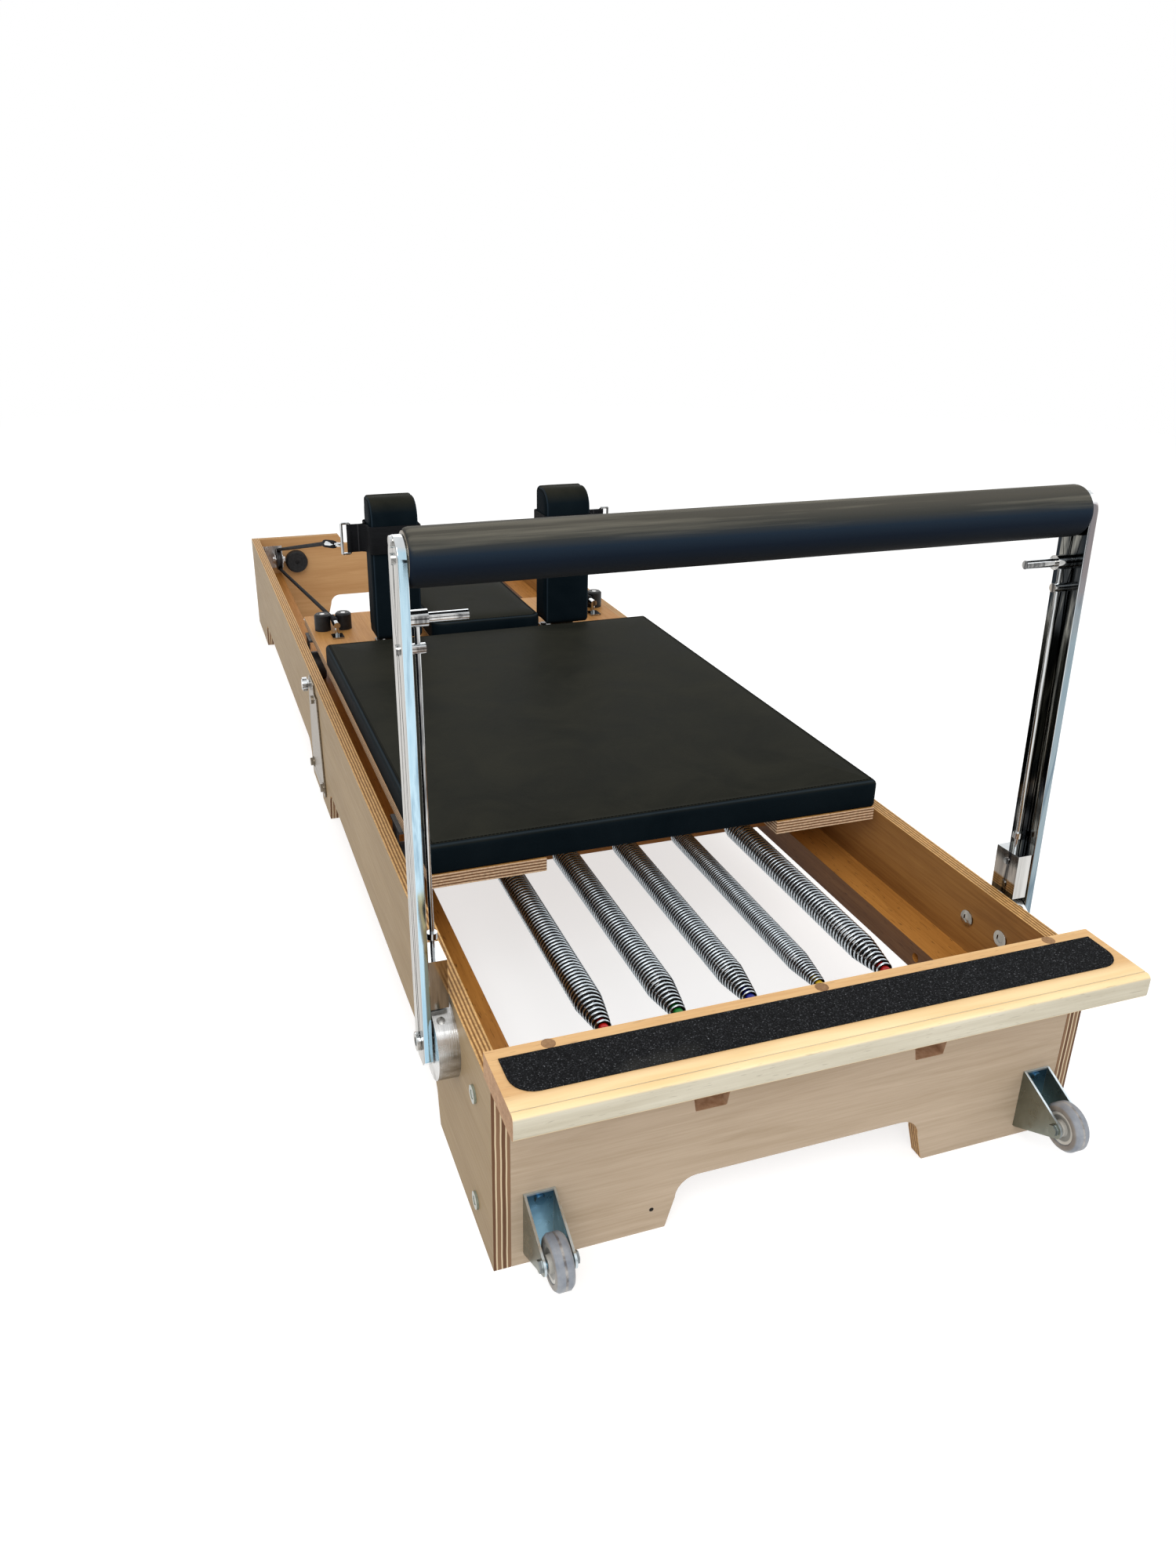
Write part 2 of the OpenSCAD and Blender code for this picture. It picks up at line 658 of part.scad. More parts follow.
sheave_w = 13;
module pulley(side) at_seam() color("dimgray") on_side(side)
    translate([-sheave_x, sheave_y, sheave_z]) rotate([0, 90, 0]) difference() {
        cylinder(r = sheave_line + 2, h = sheave_w, center = true);
        cylinder(r = axle_r + running_play, h = sheave_w + past, center = true);
        rotate_extrude() translate([sheave_line, 0]) circle(r = rope_d / 2 + 0.8);
    }

rope_sides = 8;
module rope_upper() at_seam() color("black") both_sides() swept(upper_route, rope_d / 2, rope_sides);
module rope_lower() at_seam() color("black") both_sides() swept(lower_route, rope_d / 2, rope_sides);

// Fold linkage

module fold_plate(side) at_seam() color("gainsboro") on_side(side) difference() {
    yz_prism([
        [-plate_half, plate_low], [plate_half, plate_low], [plate_half + 7, plate_low + 8],
        [46, plate_top - 8], [40, plate_top], [-16, plate_top], [-18, plate_top - 16],
        [-46, plate_top - 16], [-plate_half - 7, plate_low + 8],
    ], plate_outer, plate_outer + link_t);
    for (y = [-link_y, link_y])
        x_rod(plate_outer - past, plate_outer + link_t + past, link_bolt_r + bolt_play, y, link_z);
    x_rod(plate_outer - past, plate_outer + link_t + past, 4 + running_play, knob_at[0], knob_at[1]);
    x_rod(plate_outer - past, plate_outer + link_t + past, 4 + bolt_play, screw_at[0], screw_at[1]);
}
plate_outer = -frame_width / 2 - slip_gap - link_t;

module fold_bolts() at_seam() color("silver") both_sides() {
    for (y = [-link_y, link_y]) {
        x_rod(plate_outer - 0.5, -rail_inner + slip_gap + 6, link_bolt_r, y, link_z);
        x_rod(plate_outer - 1.5, plate_outer, 10, y, link_z);
        x_hex(plate_outer - 6, plate_outer - 1.5, 8, y, link_z);
        difference() {
            x_hex(-rail_inner + slip_gap, -rail_inner + slip_gap + 7, 10, y, link_z);
            x_rod(-rail_inner, -rail_inner + slip_gap + 8, link_bolt_r, y, link_z);
        }
    }
    x_rod(plate_outer - 1, plate_outer + link_t, 4, screw_at[0], screw_at[1]);
    x_rod(plate_outer - 4, plate_outer, 7.5, screw_at[0], screw_at[1]);
}

knob_lobes = 5;
module lock_knob(side) at_seam() color("silver") on_side(side) translate([0, knob_at[0], knob_at[1]]) {
    x_rod(plate_outer - 2, plate_outer + link_t, 4);
    x_rod(plate_outer - 3, plate_outer - slip_gap, 6.5);
    x_rod(plate_outer - 13, plate_outer - 3, 9.5);
    for (k = [0:knob_lobes - 1]) rotate([360 * k / knob_lobes, 0, 0])
        x_rod(plate_outer - 12, plate_outer - 4, 4, 0, 9);
}

// Carriage

notch_half = 160;
board_notch = 60;
module carriage_board() at_seam() color("goldenrod") difference() {
    translate([-carriage_width / 2, -carriage_front, carriage_low])
        cube([carriage_width, carriage_front + carriage_rear, carriage_t]);
    translate([-notch_half, -carriage_front - past, carriage_low - past])
        cube([2 * notch_half, board_notch + past, carriage_t + 2 * past]);
}

module carriage_pad() at_seam() color("black")
    translate([0, pad_rear - pad_length / 2, carriage_top]) cushion(pad_width, pad_length, pad_t, 8, 1.5, 3);

// Batten that takes the springs, and the batten that meets the rubber bumpers
rear_batten_y = carriage_rear - batten_t - 4;
module carriage_battens() at_seam() color("peru") {
    translate([-rail_inner + track_width + 22, spring_end_y, batten_low])
        cube([2 * (rail_inner - track_width - 22), batten_t, carriage_low - batten_low]);
    translate([-rail_inner + track_width + 10, rear_batten_y, batten_low])
        cube([2 * (rail_inner - track_width - 10), batten_t, carriage_low - batten_low]);
}

cheek_inside = wheel_w / 2 + 3;
module wheel_brackets() at_seam() color("lightsteelblue") both_sides() for (y = [wheel_front_y, wheel_rear_y]) {
    difference() {
        union() {
            translate([-wheel_x - cheek_inside - 3, y - wheel_r, carriage_low - 4])
                cube([2 * cheek_inside + 6, 2 * wheel_r, 4]);
            for (x = [-wheel_x - cheek_inside - 3, -wheel_x + cheek_inside])
                translate([x, y - wheel_r / 2, wheel_z - 12]) cube([3, wheel_r, carriage_low - wheel_z + 9]);
        }
        x_rod(-wheel_x - cheek_inside - 4, -wheel_x + cheek_inside + 4, axle_r + bolt_play, y, wheel_z);
    }
    x_rod(-wheel_x - cheek_inside - 4, -wheel_x + cheek_inside + 4, axle_r, y, wheel_z);
    x_hex(-wheel_x + cheek_inside + 3, -wheel_x + cheek_inside + 7, 7, y, wheel_z);
}

module carriage_wheels(y) at_seam() color("darkgray") both_sides()
    translate([-wheel_x, y, wheel_z]) rotate([0, 90, 0]) difference() {
        cylinder(r = wheel_r, h = wheel_w, center = true);
        cylinder(r = axle_r + running_play, h = wheel_w + past, center = true);
        for (s = [-1, 1]) translate([0, 0, s * wheel_w / 2]) rotate_extrude()
            translate([(wheel_r + 9) / 2, 0]) square([wheel_r - 17, 8], center = true);
    }

rest_x = rest_inner + rest_width / 2;
module shoulder_posts() at_seam() color("dimgray") both_sides() {
    translate([-rest_x - 34, rest_mid_y - 30, carriage_top]) cube([68, 76, 4]);
    translate([-rest_x - 22, rest_mid_y - 4, carriage_top + 4]) cube([44, 8, rest_lift - 4]);
    for (x = [-26, 26]) translate([-rest_x + x, rest_mid_y + 36, carriage_top + 4]) cylinder(r = 6, h = 3);
}

// Outline of a shoulder rest in Y and Z from its front lower corner, drawn in by inset on all sides
rest_corners = [[0, 0, 10], [1, 0, 10], [1, 1, 14], [0, 1, 38]];
function rest_outline(inset) = [for (q = [0:3]) let (
        corner = rest_corners[q],
        r = max(corner[2] - inset, 1),
        y = corner[0] == 0 ? inset + r : rest_depth - inset - r,
        z = corner[1] == 0 ? inset + r : rest_height - inset - r)
    for (k = [0:5]) [y + r * cos(180 + 90 * q + 18 * k), z + r * sin(180 + 90 * q + 18 * k)]];

module shoulder_rest(side) at_seam() color("black") on_side(side) {
    edge = [[0, 5], [1.5, 1.5], [5, 0], [rest_width - 5, 0], [rest_width - 1.5, 1.5], [rest_width, 5]];
    rings = [for (e = edge) [for (p = rest_outline(e[1]))
        [-rest_inner - rest_width + e[0], rest_front + p[0], rest_low + p[1]]]];
    sides = len(rings[0]);
    polyhedron([for (q = rings) each q], tube_faces(len(edge), sides));
}

module rope_guides() at_seam() color("black") both_sides() for (s = [-1, 1])
    translate([anchor_at[0] + s * guide_gap, guide_y, carriage_top]) rotate_extrude() polygon([
        [0, 0], [guide_r, 0], [guide_r, guide_h - 3], [guide_r - 3, guide_h], [6, guide_h],
        [6, guide_h - 3], [0, guide_h - 3],
    ]);

ring_wire = 2.5;
strap_tail = 32;
ring_x = rest_inner + rest_width + strap_tail;
hook_start = [-ring_x - 4, rest_mid_y + 3, strap_z - 12];
module rope_fittings() at_seam() color("silver") both_sides() {
    // Anchor on the carriage board: base plate, post and ferrule at the end of the rope
    translate([anchor_at[0] - 11, anchor_at[1] - 16, carriage_top]) cube([22, 28, 3]);
    translate([anchor_at[0], anchor_at[1] + 4, carriage_top + 3]) cylinder(r = 4, h = anchor_at[2] - carriage_top - 3);
    y_rod(anchor_at[1] - 4, anchor_at[1] + 16, 6, anchor_at[0], anchor_at[2]);
    // Ring in the end of the shoulder strap
    translate([-ring_x, rest_mid_y, strap_z]) {
        for (s = [-1, 1]) translate([-14, 0, s * (strap_h / 2 + ring_wire)])
            rotate([0, 90, 0]) cylinder(r = ring_wire, h = 14);
        for (x = [-14, 0]) translate([x, 0, -strap_h / 2 - ring_wire]) cylinder(r = ring_wire, h = strap_h + 2 * ring_wire);
    }
    // Snap hook from the ring to the end of the rope
    swept([hook_start + [-10, 3, 0], hook_start + [-12, 22, -4], hook_end - 8 * rope_way, hook_end], 4, rope_sides);
}

// Webbing loop round each shoulder rest with a tail sewn round its ring
strap_t = 2.5;
module rest_straps() at_seam() color("black") both_sides() difference() {
    union() {
        translate([-rest_x, rest_mid_y, strap_z])
            cube([rest_width + 2 * strap_t, rest_depth + 2 * strap_t, strap_h], center = true);
        translate([-ring_x, rest_mid_y - strap_t, strap_z - strap_h / 2])
            cube([ring_x - rest_inner - rest_width, 2 * strap_t, strap_h]);
        translate([-ring_x, rest_mid_y, strap_z - strap_h / 2]) cylinder(r = ring_wire + strap_t, h = strap_h);
    }
    translate([-rest_x, rest_mid_y, strap_z]) cube([rest_width, rest_depth, strap_h + past], center = true);
    translate([-ring_x, rest_mid_y, strap_z - strap_h]) cylinder(r = ring_wire, h = 2 * strap_h);
}

headrest_front = pad_rear + 21;
headrest_board_t = 12;
hinge_y = headrest_front - 3;
hinge_z = carriage_top + 9;
hinge_r = 3;
hinge_pin_r = 1.5;
hinge_x = 62;
hinge_half = 14;

// Two lugs on each side with a pin between them that the headrest swings on
module headrest_hinge() at_seam() color("silver") both_sides() {
    for (x = [-hinge_x - hinge_half - 4, -hinge_x + hinge_half]) {
        x_rod(x, x + 4, hinge_r, hinge_y, hinge_z);
        translate([x, hinge_y - hinge_r, carriage_top]) cube([4, 2 * hinge_r, hinge_z - carriage_top]);
    }
    translate([-hinge_x - hinge_half - 4, hinge_y - 11, carriage_top]) cube([2 * hinge_half + 8, 9, 2]);
    x_rod(-hinge_x - hinge_half - 4, -hinge_x + hinge_half + 4, hinge_pin_r, hinge_y, hinge_z);
}

module headrest_board() at_seam() color("peru") difference() {
    union() {
        translate([-headrest_width / 2 + 10, headrest_front, carriage_top])
            cube([headrest_width - 20, headrest_length - 8, headrest_board_t]);
        both_sides() {
            x_rod(-hinge_x - hinge_half + 0.5, -hinge_x + hinge_half - 0.5, hinge_r, hinge_y, hinge_z);
            translate([-hinge_x - hinge_half + 0.5, hinge_y, hinge_z - hinge_r])
                cube([2 * hinge_half - 1, hinge_r + past, 2 * hinge_r]);
        }
    }
    x_rod(-headrest_width, headrest_width, hinge_pin_r + running_play, hinge_y, hinge_z);
}
module headrest_pad() at_seam() color("black")
    translate([0, headrest_front + headrest_length / 2, carriage_top + headrest_board_t])
        cushion(headrest_width, headrest_length, headrest_t, 22, 2, 4);

// Footbar, drawn about its pivot with the arms along Z

module footbar_arm(side) footbar_place() color("silver") on_side(side) difference() {
    union() {
        yz_prism([
            [-arm_w / 2, -14], [-arm_w / 2 + 10, -24], [arm_w / 2 - 10, -24], [arm_w / 2, -14],
            [arm_w / 2, bar_height], [-arm_w / 2, bar_height],
        ], -arm_outer, -arm_inner);
        x_rod(-arm_outer, -arm_inner, arm_w / 2, 0, bar_height);
    }
    x_rod(-arm_outer - past, -arm_inner + past, pivot_r + running_play);
    arm_screw_places() x_rod(-arm_outer - past, -arm_inner + past, 3 + bolt_play);
}

module arm_screw_places() for (z = [peg_z, bar_height, bar_height + 15])
    translate([0, 0, z]) children();

module bar_tube() footbar_place() color("gray") difference() {
    x_rod(-arm_inner, arm_inner, tube_r, 0, bar_height);
    x_rod(-arm_inner - past, arm_inner + past, tube_r - 3, 0, bar_height);
}
module bar_sleeve() footbar_place() color("darkslategray") difference() {
    x_rod(-arm_inner + 0.5, arm_inner - 0.5, sleeve_r, 0, bar_height);
    x_rod(-arm_inner - past, arm_inner + past, tube_r, 0, bar_height);
}

module lock_blocks() footbar_place() color("silver") both_sides() {
    difference() {
        translate([-arm_inner, -19, block_low]) cube([block_t, 38, block_height]);
        translate([-pin_x, 0, block_low - past]) cylinder(r = pin_r + running_play, h = block_height - 10 + past);
        translate([-pin_x, 0, block_low - past]) cylinder(r = rod_r + running_play, h = block_height + 2 * past);
    }
    difference() {
        x_rod(-arm_inner, -pin_x + 7, 5, 0, peg_z);
        translate([-pin_x, 0, peg_z - 10]) cylinder(r = rod_r + running_play, h = 20);
    }
}

module footbar_bolts() footbar_place() color("silver") both_sides() {
    arm_screw_places() {
        x_rod(-arm_outer - 1, -arm_inner, 3);
        x_rod(-arm_outer - 2.5, -arm_outer, 5.5);
    }
    for (z = [block_low + 13, block_low + 43])
        x_rod(-arm_inner + block_t, -arm_inner + block_t + 1, 4.5, 0, z);
    x_rod(-arm_inner, -arm_inner + 1.5, tube_r - 3, 0, bar_height);
}

// Pull rod with its cross handle at the top and the lock pin at its foot
module release(side) footbar_place() color("silver") on_side(side) {
    x_rod(-arm_inner + slip_gap, -arm_inner + 19, 8, 0, hub_z);
    x_rod(-arm_inner + 18, -arm_inner + 57, 4.7, 0, hub_z);
    translate([-pin_x, 0, pin_tip + 40]) cylinder(r = rod_r, h = hub_z - pin_tip - 40);
    translate([-pin_x, 0, pin_tip]) cylinder(r = pin_r, h = 41);
    translate([-pin_x, 0, block_low + block_height + pin_travel + 2]) cylinder(r = 5.5, h = 7);
}

front_rail(-1);  // front_rail_left
front_rail(1);  // front_rail_right
front_panel();
spring_beam();
front_tie();
standing_platform();
platform_grip();
front_tracks();
index_discs();
frame_bolts();
spring_hooks();
caster_brackets();
spring(0);  // spring_red_left
spring(1);  // spring_green
spring(2);  // spring_blue
spring(3);  // spring_yellow
spring(4);  // spring_red_right
rear_rail(-1);  // rear_rail_left
rear_rail(1);  // rear_rail_right
rear_panel();
rear_tie();
rear_tracks();
rear_bumpers();
pulley_brackets();
rope_upper();
rope_lower();
fold_plate(-1);  // fold_plate_left
fold_plate(1);  // fold_plate_right
fold_bolts();
lock_knob(-1);  // lock_knob_left
lock_knob(1);  // lock_knob_right
caster_tyre(-1);  // caster_tyre_left
caster_tyre(1);  // caster_tyre_right
caster_hub(-1);  // caster_hub_left
caster_hub(1);  // caster_hub_right
pulley(-1);  // pulley_left
pulley(1);  // pulley_right
carriage_board();
carriage_pad();
carriage_battens();
wheel_brackets();
shoulder_posts();
shoulder_rest(-1);  // shoulder_rest_left
shoulder_rest(1);  // shoulder_rest_right
rope_guides();
rope_fittings();
rest_straps();
headrest_hinge();
headrest_board();
headrest_pad();
carriage_wheels(wheel_front_y);  // carriage_wheels_front
carriage_wheels(wheel_rear_y);  // carriage_wheels_rear
footbar_arm(-1);  // footbar_arm_left
footbar_arm(1);  // footbar_arm_right
bar_tube();
bar_sleeve();
lock_blocks();
footbar_bolts();
release(-1);  // release_left
release(1);  // release_right
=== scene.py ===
"""Looks of the folding pilates reformer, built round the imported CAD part. Metres, in the part's own frame."""
import math

import bpy
import numpy as np
from mathutils import Matrix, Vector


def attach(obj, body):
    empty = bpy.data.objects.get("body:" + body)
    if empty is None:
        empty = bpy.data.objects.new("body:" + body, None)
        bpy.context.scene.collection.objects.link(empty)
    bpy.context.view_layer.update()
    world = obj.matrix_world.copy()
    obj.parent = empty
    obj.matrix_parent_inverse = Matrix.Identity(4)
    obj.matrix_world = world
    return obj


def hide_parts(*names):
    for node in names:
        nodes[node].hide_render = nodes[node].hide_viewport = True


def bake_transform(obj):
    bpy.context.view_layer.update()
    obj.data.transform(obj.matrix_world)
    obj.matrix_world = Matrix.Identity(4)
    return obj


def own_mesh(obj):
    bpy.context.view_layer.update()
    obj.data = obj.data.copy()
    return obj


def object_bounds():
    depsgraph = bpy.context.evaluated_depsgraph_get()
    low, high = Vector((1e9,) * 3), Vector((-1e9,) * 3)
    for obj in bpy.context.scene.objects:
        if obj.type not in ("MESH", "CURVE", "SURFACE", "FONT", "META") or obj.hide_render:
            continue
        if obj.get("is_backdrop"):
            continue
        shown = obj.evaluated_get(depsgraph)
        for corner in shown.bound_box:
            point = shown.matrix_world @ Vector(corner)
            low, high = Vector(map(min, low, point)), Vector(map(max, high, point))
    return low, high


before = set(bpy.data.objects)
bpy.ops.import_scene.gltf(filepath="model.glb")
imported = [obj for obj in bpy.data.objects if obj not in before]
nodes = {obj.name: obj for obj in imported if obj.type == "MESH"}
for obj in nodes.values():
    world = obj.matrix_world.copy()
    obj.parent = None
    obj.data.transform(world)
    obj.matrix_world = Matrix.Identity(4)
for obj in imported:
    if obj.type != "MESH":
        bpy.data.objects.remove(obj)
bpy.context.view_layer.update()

# Camera at the photograph's place and angle: front left of the foot end, about 0.92 m above the floor.
# Lengths along Y count from the seam between the two halves, and SEAM is where that seam lies.
SEAM = 0.0425
LENS, NEAREST = 26.564, 0.05
SHIFT_ACROSS, SHIFT_UP = 0.0202, -0.0135
CAMERA_AT = (-0.56072, -1.97223 + SEAM, 0.92486)
CAMERA_RIGHT = (0.946635, -0.322203, 0.008194)
CAMERA_UP = (0.123195, 0.385205, 0.914571)
CAMERA_BACK = (-0.297834, -0.864755, 0.404343)
camera = bpy.data.objects.new("camera", bpy.data.cameras.new("camera"))
bpy.context.scene.collection.objects.link(camera)
bpy.context.scene.camera = camera
camera.data.lens = LENS
camera.data.shift_x = SHIFT_ACROSS
camera.data.shift_y = SHIFT_UP
camera.data.clip_start = NEAREST
camera.matrix_world = Matrix([*zip(CAMERA_RIGHT, CAMERA_UP, CAMERA_BACK, CAMERA_AT), (0, 0, 0, 1)])

# Ropes: black braided cord, 8 mm, one on each side. The upper run goes from the snap hook at the shoulder
# strap to the pulley, round it, and the lower run comes forward to the anchor on the carriage board.


def make(name, vertices, faces, body, smooth=True):
    """A new mesh object of those points and faces. It rides on body, and on none where body is None."""
    mesh = bpy.data.meshes.new(name)
    mesh.from_pydata(np.asarray(vertices, float).tolist(), [], [list(map(int, f)) for f in faces])
    mesh.update()
    if smooth:
        mesh.shade_smooth()
    piece = bpy.data.objects.new(name, mesh)
    bpy.context.scene.collection.objects.link(piece)
    if body:
        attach(piece, body)
    return piece


def along(path, step):
    """Points every step along a path, its corners kept."""
    path = np.asarray(path, float)
    found = [path[:1]]
    for a, b in zip(path[:-1], path[1:]):
        n = max(1, int(round(np.linalg.norm(b - a) / step)))
        found.append(a + (b - a) * (np.arange(1, n + 1) / n)[:, None])
    return np.concatenate(found)


def joined(rows, sides, closed=False):
    """Faces of a sleeve of rows rings with that many points each. A closed one joins its last ring to its
    first."""
    i, k = np.meshgrid(np.arange(rows if closed else rows - 1), np.arange(sides), indexing="ij")
    m, j = (k + 1) % sides, (i + 1) % rows
    return np.stack([i * sides + k, i * sides + m, j * sides + m, j * sides + k], -1).reshape(-1, 4).tolist()


def lengths(path):
    """Distance of each point from the first, along the path."""
    return np.concatenate([[0], np.cumsum(np.linalg.norm(np.diff(path, axis=0), axis=1))])


def tube(name, path, radius, sides, body, up=(1, 0, 0)):
    """Tube along a path: at each of its points a ring of that radius in the plane across the path. radius is
    one number or an array of rings by sides. Its UV map has shares of a turn, and metres along the path."""
    path = np.asarray(path, float)
    heading = np.gradient(path, axis=0)
    heading /= np.linalg.norm(heading, axis=1)[:, None]
    a = np.asarray(up, float) - heading * (heading @ np.asarray(up, float))[:, None]
    a /= np.linalg.norm(a, axis=1)[:, None]
    b = np.cross(heading, a)
    n = len(path)
    turn = 2 * np.pi * np.arange(sides) / sides
    radius = np.broadcast_to(np.asarray(radius, float), (n, sides))
    points = path[:, None] + radius[..., None] * (
        np.cos(turn)[None, :, None] * a[:, None] + np.sin(turn)[None, :, None] * b[:, None])
    caps = [list(range(sides))[::-1], list(range((n - 1) * sides, n * sides))]
    piece = make(name, points.reshape(-1, 3), joined(n, sides) + caps, body)
    far = lengths(path)
    row, side = np.meshgrid(np.arange(n - 1), np.arange(sides), indexing="ij")
    u = np.stack([side, side + 1, side + 1, side], -1) / sides
    v = np.stack([far[row], far[row], far[row + 1], far[row + 1]], -1)
    charted(piece, "along", u, v, (0.0, 0.0))
    return piece


def charted(piece, name, u, v, caps):
    """UV map of a sleeve: u and v hold four values for each face, and the corners of its caps lie at caps."""
    uv = piece.data.uv_layers.new(name=name)
    values = np.stack([u, v], -1).reshape(-1, 2)
    rest = np.tile(caps, (len(uv.data) - len(values), 1))
    uv.data.foreach_set("uv", np.concatenate([values, rest]).ravel())


def colour(value):
    """The linear colour of a grey from 0 to 1, or of an sRGB colour given as three numbers up to 255. Each
    share of 255 is divided by 12.92 up to 0.04045, and above that follows a power of 2.4."""
    if not isinstance(value, tuple):
        return (value, value, value, 1.0)
    shares = [c / 255 for c in value]
    return (*[c / 12.92 if c <= 0.04045 else ((c + 0.055) / 1.055) ** 2.4 for c in shares], 1.0)


def surface(name, **values):
    """A new material: its node tree and its shader, with the values given set on the shader's own sockets."""
    material = bpy.data.materials.new(name)
    material.use_nodes = True
    tree = material.node_tree
    shader = tree.nodes["Principled BSDF"]
    for key, value in values.items():
        shader.inputs[key.replace("_", " ")].default_value = value
    return material, tree, shader


def put(tree, kind, *inputs, **settings):
    """A shader node with its first inputs in order: a socket is linked, and a value is set."""
    made = tree.nodes.new("ShaderNode" + kind)
    for key, value in settings.items():
        setattr(made, key, value)
    sockets = [s for s in made.inputs if s.enabled]
    for socket, value in zip(sockets, inputs):
        if isinstance(value, bpy.types.NodeSocket):
            tree.links.new(value, socket)
        else:
            socket.default_value = value
    return made


def place(tree, scale=(1, 1, 1), source="Object", offset=(0, 0, 0)):
    """Object or UV coordinates, scaled and then moved by offset."""
    coordinates = put(tree, "TexCoord")
    return put(tree, "Mapping", coordinates.outputs[source], offset, (0, 0, 0), scale).outputs[0]


def ramp(factor, *stops):
    """The colour that factor picks on a ramp of stops, each a place from 0 to 1 and its colour."""
    made = put(factor.id_data, "ValToRGB", factor)
    elements = made.color_ramp.elements
    while len(elements) < len(stops):
        elements.new(0.5)
    for element, (at, value) in zip(elements, stops):
        element.position = at
        element.color = colour(value)
    return made.outputs["Color"]


def tree_of(*values):
    """The node tree of the first of these values that is a socket."""
    return next(value.id_data for value in values if isinstance(value, bpy.types.NodeSocket))


def maths(operation, a, b=0.0):
    """The result of one sum: the operation on a and b."""
    return put(tree_of(a, b), "Math", a, b, operation=operation).outputs[0]


def bumped(shader, height, strength, distance):
    """Relief on the shader's surface, as high as height times distance in metres."""
    made = height.id_data.nodes.new("ShaderNodeBump")
    made.inputs["Strength"].default_value = strength
    made.inputs["Distance"].default_value = distance
    height.id_data.links.new(height, made.inputs["Height"])
    into(shader, "Normal", made.outputs[0])


def into(shader, socket, value):
    """Link value to that socket of the shader."""
    value.id_data.links.new(value, shader.inputs[socket])


rope_black, tree, shader = surface("rope_black", Roughness=0.8, Specular_IOR_Level=0.15)
crossed = put(tree, "TexWave", place(tree, (6, 260, 1), "UV"), 1.0, bands_direction="DIAGONAL")
mirrored = put(tree, "TexWave", place(tree, (-6, 260, 1), "UV"), 1.0, bands_direction="DIAGONAL")
weave = maths("MAXIMUM", crossed.outputs["Fac"], mirrored.outputs["Fac"])
into(shader, "Base Color", ramp(weave, (0.25, (5, 6, 8)), (0.9, (30, 31, 34))))
bumped(shader, weave, 0.7, 0.0008)

# The cord's radius follows the larger of two waves that cross, one for each way the strands run round it.
ROPE, ROPE_SIDES, ROPE_STEP = 0.004, 20, 0.0022
STRANDS, BRAID_TURNS, BRAID_RELIEF = 4, 520, 0.035
PULLEY, PULLEY_LINE = np.array([-0.279, 1.100, 0.178]), 0.025
HOOK_END, HOOK_BACK = np.array([-0.279, 0.160, 0.430]), np.array([-0.264, 0.1395, 0.4313])
ANCHOR_END, ANCHOR_BEND = np.array([-0.264, 0.212, 0.262]), np.array([-0.264, 0.250, 0.260])
ROPE_TOP = np.array([-0.279, 1.0946, 0.2050])
ROUND_PULLEY = np.radians(np.linspace(76.4, -97.3, 24))
wrap = PULLEY + PULLEY_LINE * np.stack([0 * ROUND_PULLEY, np.cos(ROUND_PULLEY), np.sin(ROUND_PULLEY)], 1)
ROPE_LOW = wrap[-1]
ROPE_WAY = (ROPE_TOP - HOOK_END) / np.linalg.norm(ROPE_TOP - HOOK_END)
turn = 2 * np.pi * np.arange(ROPE_SIDES) / ROPE_SIDES
for side, word in ((1, "left"), (-1, "right")):
    for part, run, end in (
        ("upper", [HOOK_END, ROPE_TOP], ROPE_TOP),
        ("wrap", [ROPE_TOP, *wrap], None),
        ("lower", [ANCHOR_END, ANCHOR_BEND, ROPE_LOW], ROPE_LOW),
    ):
        line = along(np.array(run) * (side, 1, 1), ROPE_STEP) + (0, SEAM, 0)
        far = lengths(line)[:, None]
        around, ahead = STRANDS * turn, BRAID_TURNS * far
        braid = np.maximum(np.cos(around - ahead), np.cos(around + ahead))
        thick = ROPE * (1 - BRAID_RELIEF + BRAID_RELIEF * braid)
        rope = tube(f"rope_{part}_{word}", line, thick, ROPE_SIDES, "rear_frame")
        rope.data.materials.append(rope_black)
        if part != "wrap":
            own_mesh(rope)
        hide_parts("rope_lower" if part != "upper" else "rope_upper")

# Each rope ends in a black sleeve over its turned back end, at the snap hook and between the guides. It is
# oval, widest near its closed end, and narrows to the rope.
SLEEVE_ACROSS, SLEEVE_STEP = 0.0047, 0.003
HOOK_SLEEVE, ANCHOR_SLEEVE = (0.0076, 0.03), (0.0094, 0.046)
FLARE_AT, FLARE = (0, 0.12, 0.5, 0.85, 1), (0.80, 1, 0.94, 0.80, 0.66)
for side, word in ((1, "left"), (-1, "right")):
    for part, run, tall in (
        ("upper", [HOOK_BACK, HOOK_END, HOOK_END + HOOK_SLEEVE[1] * ROPE_WAY], HOOK_SLEEVE[0]),
        ("lower", [ANCHOR_END + (0, 0.001, 0), ANCHOR_END + (0, ANCHOR_SLEEVE[1], -0.002)], ANCHOR_SLEEVE[0]),
    ):
        line = along(np.array(run) * (side, 1, 1), SLEEVE_STEP) + (0, SEAM, 0)
        flare = np.interp(np.linspace(0, 1, len(line)), FLARE_AT, FLARE)[:, None]
        oval = SLEEVE_ACROSS + (tall - SLEEVE_ACROSS) * np.abs(np.sin(turn)) ** 1.5
        sleeve = tube(f"rope_sleeve_{part}_{word}", line, flare * oval, ROPE_SIDES, "carriage")
        sleeve.data.materials.append(rope_black)

# Studio: a pale floor, a white surround and soft lamps from above and both sides. Dark cards that only the
# reflections see give the chrome its dark streaks.


def shades(factor, low, high):
    """Colour low where factor is below 0.3, high where it is above 0.7, and a blend of both in between."""
    return ramp(factor, (0.3, low), (0.7, high))


